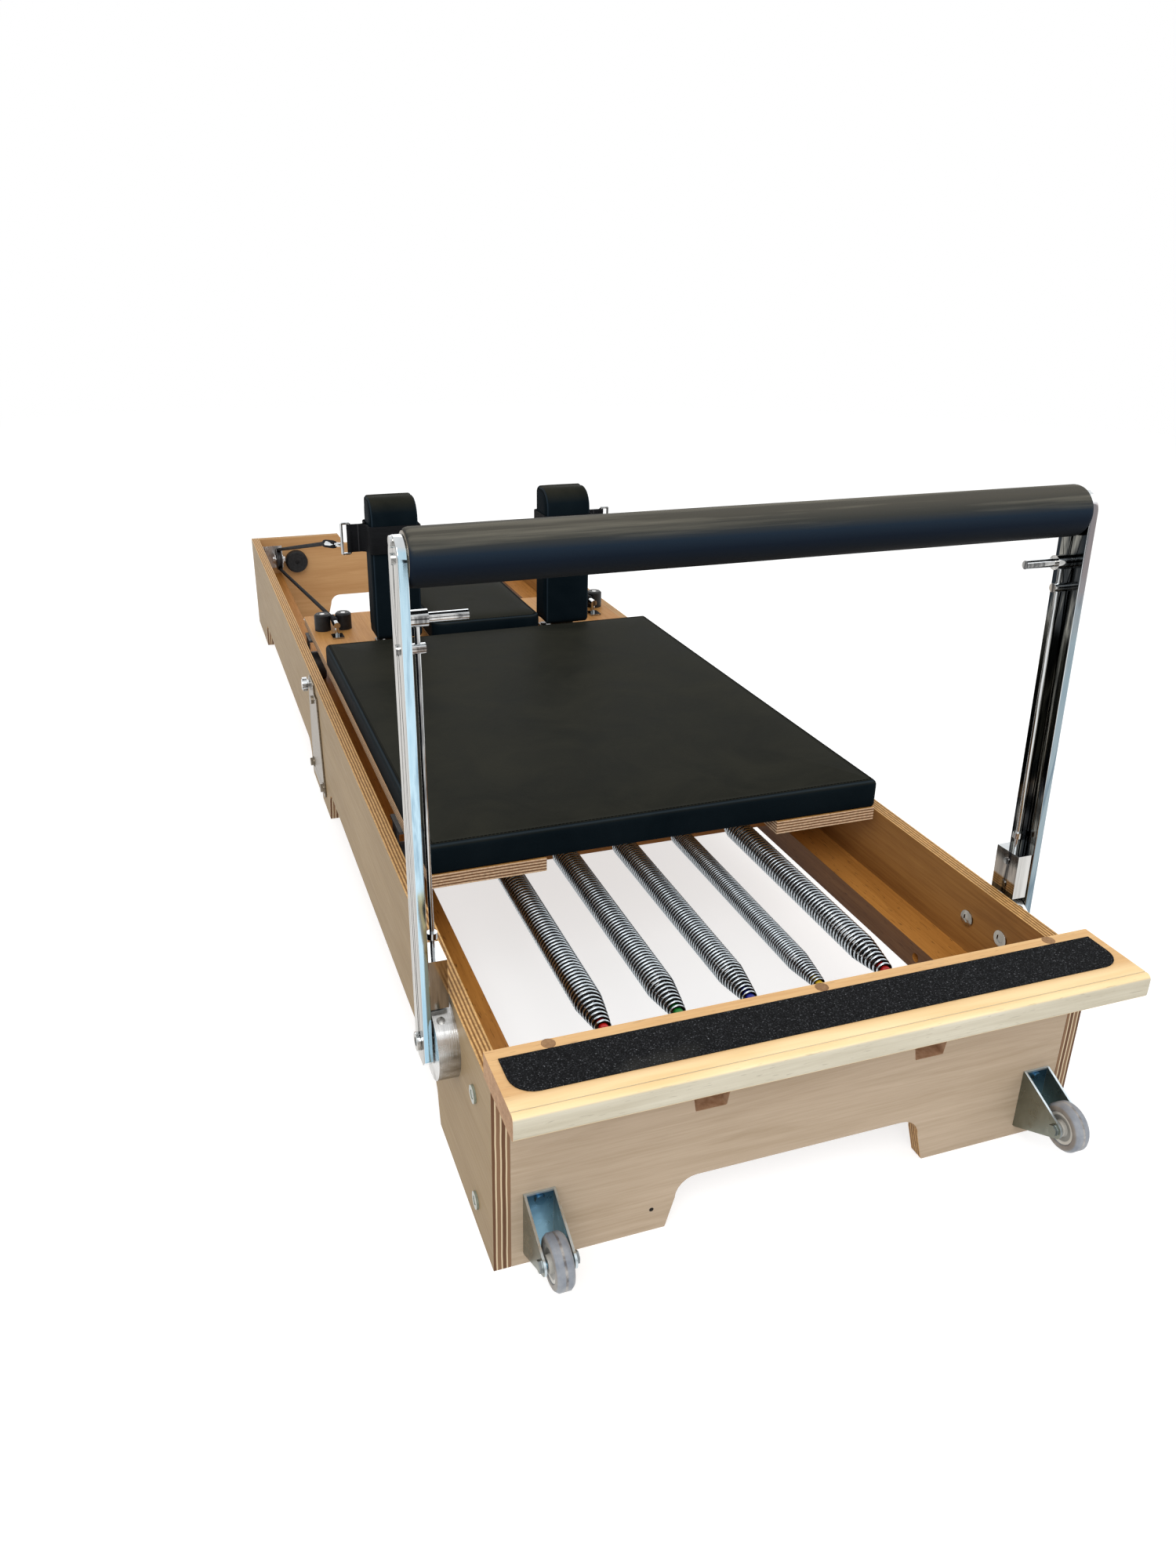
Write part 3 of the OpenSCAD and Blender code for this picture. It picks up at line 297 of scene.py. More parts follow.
def noise(where, scale, detail=4.0, rough=0.55, twist=0.0):
    """Cloudy noise from 0 to 1 over the place where, finer with a larger scale."""
    made = put(where.id_data, "TexNoise")
    where.id_data.links.new(where, made.inputs["Vector"])
    made.inputs["Scale"].default_value = scale
    made.inputs["Detail"].default_value = detail
    made.inputs["Roughness"].default_value = rough
    made.inputs["Distortion"].default_value = twist
    return made.outputs["Fac"]


def mixed(factor, a, b, blend="MIX"):
    """Colour a where factor is 0, b where it is 1, and a blend of both in between."""
    tree = tree_of(factor, a, b)
    made = tree.nodes.new("ShaderNodeMix")
    made.data_type = "RGBA"
    made.blend_type = blend
    for index, value in ((0, factor), (6, a), (7, b)):
        if isinstance(value, bpy.types.NodeSocket):
            tree.links.new(value, made.inputs[index])
        else:
            made.inputs[index].default_value = colour(value) if index else value
    return made.outputs[2]


def step(value, low, high):
    """0 below low, 1 above high, and a straight slope between them. low may be the larger of the two."""
    return put(value.id_data, "MapRange", value, low, high, 0.0, 1.0).outputs[0]


def background_rays(tree):
    """1 for rays that show the background itself: the camera's, and those mirrored or let through to it."""
    rays = put(tree, "LightPath").outputs
    direct = maths("MAXIMUM", rays["Is Camera Ray"], rays["Is Glossy Ray"])
    return maths("MAXIMUM", direct, rays["Is Transmission Ray"])


def plane(name, corners, paint):
    """A flat piece of the stage, with four corners."""
    sheet = make(name, corners, [(0, 1, 2, 3)], None, False)
    sheet.data.materials.append(paint)
    sheet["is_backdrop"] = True
    return sheet


FLOOR_REACH, FADE_START, FADE_END = 30, 1.2, 6.0
HIDDEN_GLOW, SEEN_GLOW = 0.36, 0.68
floor_paint, tree, shader = surface("floor_paint", Roughness=0.9, Specular_IOR_Level=0.0,
                                    Emission_Color=colour(1.0))
distance = put(tree, "VectorMath", place(tree, (1, 1, 0)), operation="LENGTH").outputs["Value"]
away = step(distance, FADE_START, FADE_END)
plain = shades(noise(place(tree), 3.0), 0.46, 0.48)
into(shader, "Base Color", mixed(away, plain, 0.0))
near_glow = put(tree, "MapRange", background_rays(tree), 0.0, 1.0, HIDDEN_GLOW, SEEN_GLOW).outputs[0]
into(shader, "Emission Strength", put(tree, "MapRange", away, 0.0, 1.0, near_glow, 1.0).outputs[0])
plane("floor", [(x * FLOOR_REACH, y * FLOOR_REACH, 0) for x, y in ((-1, -1), (1, -1), (1, 1), (-1, 1))],
      floor_paint)

world = bpy.data.worlds.new("surround")
bpy.context.scene.world = world
world.use_nodes = True
sky = world.node_tree
sky.nodes.clear()
seen = put(sky, "Background", colour(1.0), 1.0)
lit = put(sky, "Background", (1.0, 0.99, 0.975, 1), 0.80)
either = put(sky, "MixShader", background_rays(sky), lit.outputs[0], seen.outputs[0])
put(sky, "OutputWorld", either.outputs[0])

bpy.context.scene.view_settings.view_transform = "Standard"
for name, spot, aim, size, power in (
    ("key", (-1.5, -3.4, 3.3), (0, 0, 0.2), 2.6, 88),
    ("fill", (3.4, -1.6, 2.4), (0, 0, 0.2), 3.0, 30),
    ("back", (0.8, 3.6, 3.0), (0, 0, 0.2), 3.0, 40),
):
    lamp = bpy.data.lights.new(name, "AREA")
    lamp.size = size
    lamp.energy = power
    holder = bpy.data.objects.new(name, lamp)
    bpy.context.scene.collection.objects.link(holder)
    back = np.array(spot, float) - aim
    back /= np.linalg.norm(back)
    right = np.cross((0, 0, 1), back)
    right /= np.linalg.norm(right)
    turned = np.stack([right, np.cross(back, right), back], 1)
    holder.matrix_world = Matrix([[*row, at] for row, at in zip(turned.tolist(), spot)] + [[0, 0, 0, 1]])

card_paint, tree, shader = surface("card_paint", Roughness=1.0, Specular_IOR_Level=0.0)
into(shader, "Base Color", ramp(noise(place(tree), 2.0), (0.2, 0.004), (0.8, 0.02)))
for i, (x0, y0, x1, y1, z0, z1) in enumerate((
    (-3.2, -3.4, -1.5, -4.2, 0.0, 1.5), (0.3, -4.6, 2.0, -4.4, 0.0, 1.1), (-4.2, 0.6, -4.0, 2.4, 0.0, 1.6),
    (4.0, -2.2, 4.2, -0.4, 0.0, 1.3),
)):
    card = plane(f"card_{i}", [(x0, y0, z0), (x1, y1, z0), (x1, y1, z1), (x0, y0, z1)], card_paint)
    card.visible_camera = False
    card.visible_diffuse = False
    card.visible_shadow = False

# Side rails: 18 mm birch plywood, varnished light tan outside and golden brown inside, with the stripes of
# its layers on every edge. They stand on feet left by long arches.


def parts(tree, source="Object"):
    """The three components of the place on the piece, or of its normal in its own frame."""
    return put(tree, "SeparateXYZ", put(tree, "TexCoord").outputs[source]).outputs


def dressed(name, material, bevel=0.0008, segments=2):
    """A CAD node kept as it is, with its edges eased and its material put on."""
    node = nodes[name]
    node.data.materials.clear()
    node.data.materials.append(material)
    node.data.polygons.foreach_set("material_index", [0] * len(node.data.polygons))
    weld = node.modifiers.new("weld", "WELD")
    weld.merge_threshold = 0.00001
    ease = node.modifiers.new("ease", "BEVEL")
    ease.width = bevel
    ease.segments = segments
    ease.limit_method = "ANGLE"
    ease.angle_limit = math.radians(40)
    node.data.shade_smooth()
    straight = node.modifiers.new("straight", "WEIGHTED_NORMAL")
    straight.keep_sharp = True


PLY_LIGHT, PLY_DARK = (214, 170, 110), (134, 92, 48)
BOARD, PLIES, PLY_BLUR = 0.018, 9, 0.2
END_LIGHT, END_DARK = (214, 196, 164), ((132, 102, 78), (104, 74, 54))
END_BANDS, END_BLUR = (0.17, 0.08, 0.21, 0.08, 0.21, 0.08, 0.17), 0.012
PLY_WANDER = 0.0014
DARK_AT, LIGHT_AT = 0.36, 0.62


def wood(name, light, dark, grain="Y", rough=0.5, wave=0.9, pores=0.0, layers=None, back=None, faces=(),
         edge_colours=None):
    """Varnished wood with its grain along one axis: broad, fine and cloudy noise added up run from its dark
    colour to its light one. pores is how strongly its dark pores show. layers gives the axis across the
    layers of plywood and the place of the board's inner face on it, back the two colours of that face, and
    edge_colours those of its stripes. faces gives (axis, lowest normal, light, dark) for sides of another
    colour."""
    material, tree, shader = surface(name, Roughness=rough, Specular_IOR_Level=0.10, Coat_Weight=0.01)

    def stretched(lengthways, across):
        """The place on the piece, scaled by one number along the grain and by another over it."""
        return place(tree, tuple(lengthways if axis == grain else across for axis in "XYZ"))

    broad = noise(stretched(2.2, 26), 1.0, 5.0, 0.6, wave)
    thin = noise(stretched(9, 300), 1.0, 3.0, 0.7, 0.4 * wave)
    cloud = noise(place(tree), 4.0, 3.0)
    grained = maths("ADD", maths("MULTIPLY", broad, 0.5), maths("MULTIPLY", thin, 0.3))
    grained = maths("ADD", grained, maths("MULTIPLY", cloud, 0.2))

    def grown(pale, deep):
        """The grain in a light and a dark colour."""
        return ramp(grained, (DARK_AT, deep), (LIGHT_AT, pale))

    face = grown(light, dark)
    normal = parts(tree, "Normal")
    where = parts(tree)
    for axis, low, other_light, other_dark in faces:
        sign = -1.0 if axis[0] == "-" else 1.0
        turned = step(maths("MULTIPLY", normal["XYZ".index(axis[-1])], sign), low, low + 0.15)
        face = mixed(turned, face, grown(other_light, other_dark))
    if layers:
        axis, inner_face = "XYZ".index(layers[0]), layers[1]
        lie = maths("SUBTRACT", where[axis], SEAM) if axis == 1 else where[axis]
        outward = maths("MULTIPLY", normal[axis], maths("SIGN", lie))
        if back:
            face = mixed(step(outward, 0.1, -0.1), face, grown(*back))
        wander = maths("SUBTRACT", noise(place(tree), 24.0, 2.0), 0.5)
        depth = maths("SUBTRACT", maths("ABSOLUTE", lie), inner_face)
        depth = maths("ADD", depth, maths("MULTIPLY", wander, PLY_WANDER))
        depth = maths("DIVIDE", depth, BOARD)
        pale, deep = edge_colours or (PLY_LIGHT, PLY_DARK)
        stops = [((ply + inset) / PLIES, deep if ply % 2 else pale)
                 for ply in range(PLIES) for inset in (PLY_BLUR, 1 - PLY_BLUR)]
        end_stops, at = [], 0.0
        for band, wide in enumerate(END_BANDS):
            for edge in (at + END_BLUR, at + wide - END_BLUR):
                end_stops.append((edge, END_LIGHT if band % 2 else END_DARK[band // 2 % 2]))
            at += wide
        striped = ramp(depth, *stops)
        fleck = noise(place(tree, (260, 260, 260)), 1.0, 3.0, 0.7)
        fleck = ramp(fleck, (0.3, 0.45), (0.65, 1.0))
        striped = mixed(0.75, striped, fleck, "MULTIPLY")
        if axis == 0:
            end = step(maths("ABSOLUTE", normal[1]), 0.6, 0.8)
            striped = mixed(end, striped, ramp(depth, *end_stops))
        edge = maths("LESS_THAN", maths("ABSOLUTE", normal[axis]), 0.5)
        face = mixed(edge, face, striped)
    if pores:
        dots = step(noise(stretched(60, 620), 1.0, 1.0), 0.66, 0.72)
        face = mixed(maths("MULTIPLY", dots, pores), face, (64, 42, 24))
    into(shader, "Base Color", face)
    into(shader, "Roughness", ramp(thin, (0.2, rough + 0.08), (0.8, rough - 0.08)))
    bumped(shader, thin, 0.10, 0.0004)
    return material


OUTER = ((158, 135, 101), (144, 121, 88))
INNER = ((160, 114, 60), (118, 78, 38))
RAIL_INNER, PANEL_INNER = 0.322, 1.137
ply_rail = wood("ply_rail", *OUTER, "Y", layers=("X", RAIL_INNER), back=INNER)
for half in ("front", "rear"):
    for word in ("left", "right"):
        dressed(f"{half}_rail_{word}", ply_rail)

# End panels: the same plywood between the rails, paler and greyer on the outside of the foot end, where a small
# hole near the floor is painted as a dark disc, the shade inside it.


def reopened(material):
    """The tree of a material, its shader and its colour so far, to paint marks over."""
    tree = material.node_tree
    shader = tree.nodes["Principled BSDF"]
    return tree, shader, shader.inputs["Base Color"].links[0].from_socket


HOLE_X, HOLE_Z, HOLE_RADIUS, ABOVE_ARCH = -0.172, 0.028, 0.0025, 0.10
ply_foot = wood("ply_foot", (190, 172, 151), (168, 149, 126), "X", wave=2.4, layers=("Y", PANEL_INNER),
                back=INNER)
ply_head = wood("ply_head", *OUTER, "X", wave=1.6, layers=("Y", PANEL_INNER),
                back=((194, 152, 106), (178, 134, 88)))
tree, shader, painted = reopened(ply_foot)
from_hole = put(tree, "VectorMath", place(tree, (1, 0, 1), offset=(-HOLE_X, 0, -HOLE_Z)), operation="LENGTH")
# Painted shade: the small hole is a dark disc in the colour.
hole_shade = step(from_hole.outputs["Value"], HOLE_RADIUS + 0.0003, HOLE_RADIUS - 0.0003)
sawn = maths("LESS_THAN", maths("ABSOLUTE", parts(tree, "Normal")[1]), 0.5)
sawn = maths("MULTIPLY", sawn, step(parts(tree)[2], ABOVE_ARCH, ABOVE_ARCH + 0.01))
raw = shades(noise(place(tree), 120.0), (158, 124, 98), (190, 160, 134))
painted = mixed(sawn, painted, raw)
into(shader, "Base Color", mixed(hole_shade, painted, (24, 20, 18)))
dressed("front_panel", ply_foot)
dressed("rear_panel", ply_head)

# Spring beam, tracks and ties: solid hardwood, reddish brown, glued and screwed between the rails.
beam_wood = wood("beam_wood", (176, 118, 74), (132, 80, 46), "X", pores=0.5)
# Painted shade: the sides of the tracks are the same wood in a darker brown.
TRACK_SIDE_SHADE = (116, 80, 48), (86, 55, 32)
track_wood = wood("track_wood", (188, 130, 62), (150, 97, 42), "Y", pores=0.7,
                  faces=(("X", 0.6, *TRACK_SIDE_SHADE), ("-X", 0.6, *TRACK_SIDE_SHADE)))
tie_wood = wood("tie_wood", (168, 114, 58), (130, 82, 40), "X", pores=0.4)
dressed("spring_beam", beam_wood)
for half in ("front", "rear"):
    dressed(f"{half}_tracks", track_wood)
    dressed(f"{half}_tie", tie_wood)

# Standing platform: solid beech with a rounded front edge, tan on top, pale yellow along the rounding, where a
# highlight is painted over its wear, and whitish and worn on its front face. It is screwed down under three
# wood plugs and carries a coarse black strip.
END_GRAIN = (190, 150, 112), (146, 108, 76)
ROUNDING, ROUNDED = -1.199, -1.212
# The rounding is painted pale yellow: a painted highlight over its wear.
platform_wood = wood("platform_wood", (222, 184, 132), (198, 152, 102), "X", 0.5, 1.4, 0.25, faces=(
    ("-Y", 0.12, (246, 226, 184), (228, 200, 150)),
    ("-Y", 0.80, (208, 202, 184), (184, 176, 156)),
    ("X", 0.60, *END_GRAIN), ("-X", 0.60, *END_GRAIN)))
tree, shader, painted = reopened(platform_wood)
# A pale band on the top of the rounding: painted highlight and wear together.
wear_and_sheen = maths("MULTIPLY", step(parts(tree)[1], ROUNDING + SEAM, ROUNDED + SEAM),
             step(parts(tree, "Normal")[2], 0.6, 0.9))
pale = shades(noise(place(tree, (6, 60, 60)), 1.0), (230, 198, 146), (246, 220, 174))
into(shader, "Base Color", mixed(wear_and_sheen, painted, pale))
dressed("standing_platform", platform_wood, 0.002, 3)


def button(name, centre, radius, height, body, material):
    """Low round disc that stands up from centre: three rings, the last of them drawn in to ease the rim."""
    sides = 40
    turn = 2 * np.pi * np.arange(sides) / sides
    ring = np.stack([np.cos(turn), np.sin(turn), 0 * turn], 1)
    rows = ((radius, -0.0005), (radius, 0.6 * height), (0.93 * radius, height))
    points = np.concatenate([r * ring + centre + (0, 0, h) for r, h in rows])
    caps = [list(range(sides))[::-1], list(range(2 * sides, 3 * sides))]
    disc = make(name, points, joined(3, sides) + caps, body, False)
    disc.data.materials.append(material)


PLUGS_X, PLUG_Y, PLUG_TOP = (-0.280, 0.009, 0.286), -1.1415, 0.2525
PLUG, PLUG_RISE = 0.007, 0.0003
plug_wood = wood("plug_wood", (164, 128, 90), (120, 88, 60), "Z", pores=0.8)
for i, x in enumerate(PLUGS_X):
    button(f"platform_plug_{i}", np.array((x, PLUG_Y + SEAM, PLUG_TOP)), PLUG, PLUG_RISE, "front_frame",
           plug_wood)

grip_black, tree, shader = surface("grip_black", Roughness=0.95, Specular_IOR_Level=0.1)
grit = put(tree, "TexVoronoi", place(tree), 900.0)
fleck = noise(place(tree), 620.0, 3.0, 0.7)
tone = ramp(fleck, (0.38, (9, 10, 11)), (0.56, (25, 26, 28)), (0.66, (62, 64, 67)), (0.72, (140, 142, 145)))
scuff = step(noise(place(tree), 7.0, 3.0), 0.62, 0.74)
into(shader, "Base Color", mixed(maths("MULTIPLY", scuff, 0.22), tone, (88, 86, 80)))
bumped(shader, grit.outputs["Distance"], 0.8, 0.0005)
dressed("platform_grip", grip_black, 0.0003)

# Chrome hardware of the footbar: arms, lock blocks, handles, screws, lock knobs and the rope's rings and snap
# hooks. A room's reflection is painted on the flat sides: beige outside, dark towards the middle, and to the
# front light blue on the arms, brownish on the left lock block and grey on the rest.


def from_pair(tree, x):
    """Distance across from the middle of the nearer of two like pieces, that stand at x and -x."""
    return maths("ABSOLUTE", maths("SUBTRACT", maths("ABSOLUTE", parts(tree)[0]), x))


def plated(name, inner, front, far=None):
    """Chrome with a room's reflection painted on its flat sides. inner gives the stops of the side that looks
    to the middle, front those of the side that looks to the foot end, and far those of that side on the right."""
    material, tree, shader = surface(name, Metallic=1.0, Roughness=0.08)
    normal = parts(tree, "Normal")
    outward = maths("MULTIPLY", normal[0], maths("SIGN", parts(tree)[0]))
    smear = noise(place(tree), 22.0, 5.0)
    streak = noise(place(tree, (30, 30, 3.2)), 1.0, 5.0, 0.6, 0.3)
    mark = step(noise(place(tree, (90, 90, 34)), 1.0, 3.0), 0.68, 0.72)
    # Painted reflections: each flat side gets the colours of a room seen in it.
    tone = shades(smear, (196, 202, 206), (232, 235, 236))
    beige_reflection = ramp(streak, (0.3, (112, 109, 101)), (0.5, (142, 139, 131)), (0.7, (160, 158, 153)))
    facing = ramp(streak, *front)
    # Without far, the right side's front reflection is painted browner low down.
    if far:
        other = ramp(streak, *far)
    else:
        high = step(maths("ADD", parts(tree)[2], maths("MULTIPLY", smear, 0.2)), 0.62, 0.72)
        far_reflection_tint = mixed(high, (200, 192, 188), (196, 160, 150))
        other = mixed(1.0, facing, far_reflection_tint, "MULTIPLY")
    facing = mixed(step(parts(tree)[0], 0.0, 0.1), facing, other)
    tone = mixed(step(outward, 0.75, 0.9), tone, mixed(mark, beige_reflection, (96, 92, 84)))
    tone = mixed(step(outward, -0.75, -0.9), tone, ramp(streak, *inner))
    tone = mixed(step(normal[1], -0.75, -0.9), tone, facing)
    into(shader, "Base Color", tone)
    dull = maths("MULTIPLY", smear, streak)
    into(shader, "Roughness", ramp(dull, (0.12, 0.05), (0.42, 0.16)))
    bumped(shader, noise(place(tree, (14, 14, 7)), 1.0, 2.0), 0.12, 0.002)
    return material


arm_chrome = plated("arm_chrome", (
    (0.36, (26, 32, 38)), (0.46, (50, 52, 53)), (0.52, (140, 139, 132)), (0.58, (34, 40, 46)),
    (0.66, (22, 27, 33)),
), (
    (0.35, (158, 194, 214)), (0.5, (186, 214, 228)), (0.58, (136, 166, 186)), (0.62, (184, 212, 226)),
))
block_chrome = plated("block_chrome", (
    (0.36, (70, 70, 72)), (0.50, (168, 160, 150)), (0.56, (48, 48, 50)), (0.64, (150, 144, 138)),
), (
    (0.36, (134, 126, 120)), (0.50, (178, 169, 161)), (0.58, (104, 98, 94)), (0.64, (174, 168, 163)),
), ((0.35, (170, 168, 164)), (0.50, (204, 203, 200)), (0.62, (186, 185, 183))))
chrome = plated("chrome", (
    (0.36, (96, 97, 98)), (0.50, (186, 184, 180)), (0.56, (70, 71, 73)), (0.64, (170, 168, 165)),
), (
    (0.36, (150, 150, 149)), (0.50, (204, 204, 203)), (0.58, (104, 104, 105)), (0.64, (196, 196, 195)),
), (
    (0.36, (96, 97, 98)), (0.48, (190, 190, 188)), (0.56, (84, 85, 86)), (0.64, (214, 214, 212)),
))
bolt_chrome = plated("bolt_chrome", (
    (0.36, (136, 132, 124)), (0.50, (166, 161, 152)), (0.56, (116, 113, 107)), (0.64, (174, 170, 162)),
), (
    (0.36, (150, 146, 140)), (0.50, (186, 182, 176)), (0.58, (120, 118, 116)), (0.64, (190, 186, 182)),
))
BOLT_HEAD_X = 0.342
tree, shader, painted = reopened(bolt_chrome)
on_rail = step(from_pair(tree, BOLT_HEAD_X), 0.0032, 0.0026)
tarnish = shades(noise(place(tree), 200.0), (112, 118, 106), (138, 144, 130))
into(shader, "Base Color", mixed(on_rail, painted, tarnish))
into(shader, "Metallic", maths("SUBTRACT", 1.0, on_rail))
for name in ("footbar_arm_left", "footbar_arm_right"):
    dressed(name, arm_chrome, 0.0012, 3)
dressed("lock_blocks", block_chrome, 0.0006)
for name in ("lock_knob_left", "lock_knob_right", "footbar_bolts", "release_left", "release_right",
             "rope_fittings"):
    dressed(name, chrome, 0.0006)
dressed("frame_bolts", bolt_chrome, 0.0006)

# Index discs: turned and polished steel with fine rings round the rim, painted lighter where they face up and
# darker where they face down, as light from above.
turned_steel, tree, shader = surface("turned_steel", Metallic=1.0, Roughness=0.2)
lathe = noise(place(tree, (1400, 12, 12)), 1.0, 3.0, 0.7)
haze = noise(place(tree, (20, 60, 60)), 1.0, 3.0)
# Painted light: the tone rises with how far the surface faces up.
raised = put(tree, "MapRange", parts(tree, "Normal")[2], -1.0, 1.0, -0.15, 0.15).outputs[0]
tone = ramp(maths("ADD", haze, raised), (0.3, (128, 125, 120)), (0.48, (186, 185, 182)),
            (0.62, (214, 214, 213)))
rings = ramp(lathe, (0.3, 0.35), (0.6, 1.0))
into(shader, "Base Color", mixed(0.35, tone, rings, "MULTIPLY"))
into(shader, "Roughness", shades(haze, 0.16, 0.3))
bumped(shader, lathe, 0.25, 0.0003)
dressed("index_discs", turned_steel, 0.0008)

# Plain steel: link plates, their bolts, headrest hinge and the bar's tube, brushed and slightly dull. The
# spring hooks and pulley brackets are of a brighter steel.


def cloudy(name, low, high, scale, detail=4.0, stretch=(1, 1, 1), rough=None, relief=None, **values):
    """A plain material whose noise runs from the colour low to the colour high. Where they are given, it also
    runs between the two roughnesses and into a relief of that strength and distance."""
    material, tree, shader = surface(name, **values)
    cloud = noise(place(tree, stretch), scale, detail)
    into(shader, "Base Color", shades(cloud, low, high))
    if rough:
        into(shader, "Roughness", shades(cloud, *rough))
    if relief:
        bumped(shader, cloud, *relief)
    return material


steel = cloudy("steel", (112, 102, 88), (146, 136, 121), 1.0, stretch=(60, 30, 900), rough=(0.26, 0.4),
               relief=(0.15, 0.0003), Metallic=1.0, Roughness=0.3)
for name in ("fold_plate_left", "fold_plate_right", "fold_bolts", "headrest_hinge", "bar_tube"):
    dressed(name, steel, 0.0005)
bright_steel = cloudy("bright_steel", (178, 177, 176), (212, 211, 210), 1.0, stretch=(500, 30, 30),
                      rough=(0.22, 0.36), Metallic=0.75, Roughness=0.3)
for name in ("spring_hooks", "pulley_brackets"):
    dressed(name, bright_steel, 0.0005)

# Zinc plated pressings: the caster brackets, with a deep blue reflection painted on their inside, lighter
# towards the bottom, and highlights painted along the edges of their sheet, and the duller brackets of the
# carriage wheels.
CASTER_X, LEG_INNER, LEG_OUTER, LEG_TOP = 0.293, 0.0138, 0.0168, 0.0885
zinc, tree, shader = surface("zinc", Metallic=0.9, Roughness=0.28)
patch = put(tree, "TexVoronoi", place(tree), 90.0)
tone = noise(place(tree, (1, 1, 0.5)), 26.0, 5.0)
high = maths("ADD", parts(tree)[2], maths("MULTIPLY", tone, 0.05))
# Painted reflection: deep blue on the inside, lighter towards the bottom.
front = ramp(step(high, 0.07, 0.17), (0.0, (122, 160, 180)), (0.35, (78, 122, 150)),
             (0.62, (28, 66, 98)), (0.85, (66, 110, 138)), (1.0, (20, 52, 82)))
flank = shades(tone, (106, 110, 100), (138, 142, 132))
facing = maths("ABSOLUTE", parts(tree, "Normal")[0])
off_middle = from_pair(tree, CASTER_X)
# Painted highlights along the edges of the legs and the top edge; the axle bolt heads beyond the legs are grey.
rim = maths("MAXIMUM", step(off_middle, LEG_INNER, LEG_INNER + 0.0003),
            step(parts(tree)[2], LEG_TOP, LEG_TOP + 0.0005))
rim_colour = mixed(step(off_middle, LEG_OUTER, LEG_OUTER + 0.0004), (196, 208, 214), (124, 130, 132))
front = mixed(rim, front, rim_colour)
into(shader, "Base Color", mixed(step(facing, 0.6, 0.9), front, flank))
into(shader, "Roughness", ramp(patch.outputs["Distance"], (0.0, 0.2), (0.6, 0.36)))
dressed("caster_brackets", zinc, 0.0005)
dull_zinc = cloudy("dull_zinc", (58, 60, 62), (86, 88, 90), 60.0, 5.0, relief=(0.1, 0.0003), Metallic=0.6,
                   Roughness=0.5)
dressed("wheel_brackets", dull_zinc, 0.0005)

# Caster wheels: a cloudy bluish grey tyre with a worn line round its middle and its sides painted a darker
# brownish grey as shade, on a whitish plastic hub whose recess is painted grey as its shade.
WORN_LINE, TYRE_HALF = 0.0018, 0.0088
RECESS_INNER, RECESS_OUTER = 0.009, 0.0146
WHEEL_Y, WHEEL_Z = -1.213, 0.0565
tyre_grey, tree, shader = surface("tyre_grey", Roughness=0.4, Specular_IOR_Level=0.3)
dust = noise(place(tree), 70.0, 6.0)
tone = shades(dust, (116, 123, 134), (150, 154, 160))
off_middle = from_pair(tree, CASTER_X)
ragged = maths("ADD", off_middle, maths("MULTIPLY", noise(place(tree), 500.0), 0.0012))
wear_and_sheen = ramp(dust, (0.4, (92, 90, 92)), (0.6, (166, 163, 160)))
tone = mixed(step(ragged, WORN_LINE + 0.0004, WORN_LINE - 0.0004), tone, wear_and_sheen)
# Painted shade: the sides of the tyre are a darker brownish grey.
flank = shades(dust, (116, 109, 102), (142, 136, 129))
into(shader, "Base Color", mixed(step(off_middle, TYRE_HALF - 0.0005, TYRE_HALF + 0.0006), tone, flank))
bumped(shader, dust, 0.2, 0.0006)
hub_white, tree, shader = surface("hub_white", Roughness=0.4)
dust = noise(place(tree), 90.0, 4.0)
tone = shades(dust, (192, 189, 180), (216, 214, 208))
from_axle = put(tree, "VectorMath", place(tree, (0, 1, 1), offset=(0, -WHEEL_Y - SEAM, -WHEEL_Z)),
                operation="LENGTH").outputs["Value"]
# Painted shade: a grey ring where the hub's recess lies.
recess = maths("MULTIPLY", step(from_axle, RECESS_INNER - 0.0005, RECESS_INNER + 0.0005),
               step(from_axle, RECESS_OUTER + 0.0004, RECESS_OUTER - 0.0004))
shaded = shades(dust, (126, 126, 122), (150, 149, 144))
into(shader, "Base Color", mixed(recess, tone, shaded))
for word in ("left", "right"):
    dressed(f"caster_tyre_{word}", tyre_grey, 0.0028, 4)
    dressed(f"caster_hub_{word}", hub_white, 0.0005)

# Running wheels and rope pulleys: dark grey plastic, turned smooth.
wheel_grey = cloudy("wheel_grey", (40, 40, 42), (62, 62, 64), 60.0, Roughness=0.42)
for name in ("carriage_wheels_front", "carriage_wheels_rear", "pulley_left", "pulley_right"):
    dressed(name, wheel_grey, 0.0006)

# Springs: five coils of bright nickel wire, each wound at its own pitch, painted bright along one side of the
# wire as a highlight and nearly black round the rest as shade. They narrow at the foot end round a coloured
# insert that shows their strength: red, green, blue, yellow (thinner), red.
wire, tree, shader = surface("spring_wire", Metallic=1.0, Roughness=0.2)
drawn = noise(place(tree, (40, 900, 40)), 1.0, 3.0)
round_wire = parts(tree, "UV")[0]
off_crest = maths("ABSOLUTE", maths("SUBTRACT", round_wire, 0.75))
tone = shades(drawn, (192, 200, 206), (226, 236, 243))
# Painted highlight on one side of the wire, painted shade round the rest.
crest_light = ramp(off_crest, (0.06, 1.0), (0.13, 0.48), (0.19, 0.012))
into(shader, "Base Color", mixed(1.0, tone, crest_light, "MULTIPLY"))
into(shader, "Roughness", shades(drawn, 0.14, 0.28))
SPRING_GAP, SPRING_Z, SPRING_START, SPRING_END = 0.088, 0.160, -1.022, -0.610
CONE, NECK, TAIL = 0.050, 0.47, 0.025
STEPS_PER_TURN, WIRE_SIDES = 18, 8
TIP_AT, TIP_SIDES = (-1.030, -1.0295, -1.029, -1.006, -1.0055, -1.005), 24
TIP_RADII, THIN_TIP = np.array([0.003, 0.0045, 0.0052, 0.0052, 0.0048, 0.003])[:, None], 0.8
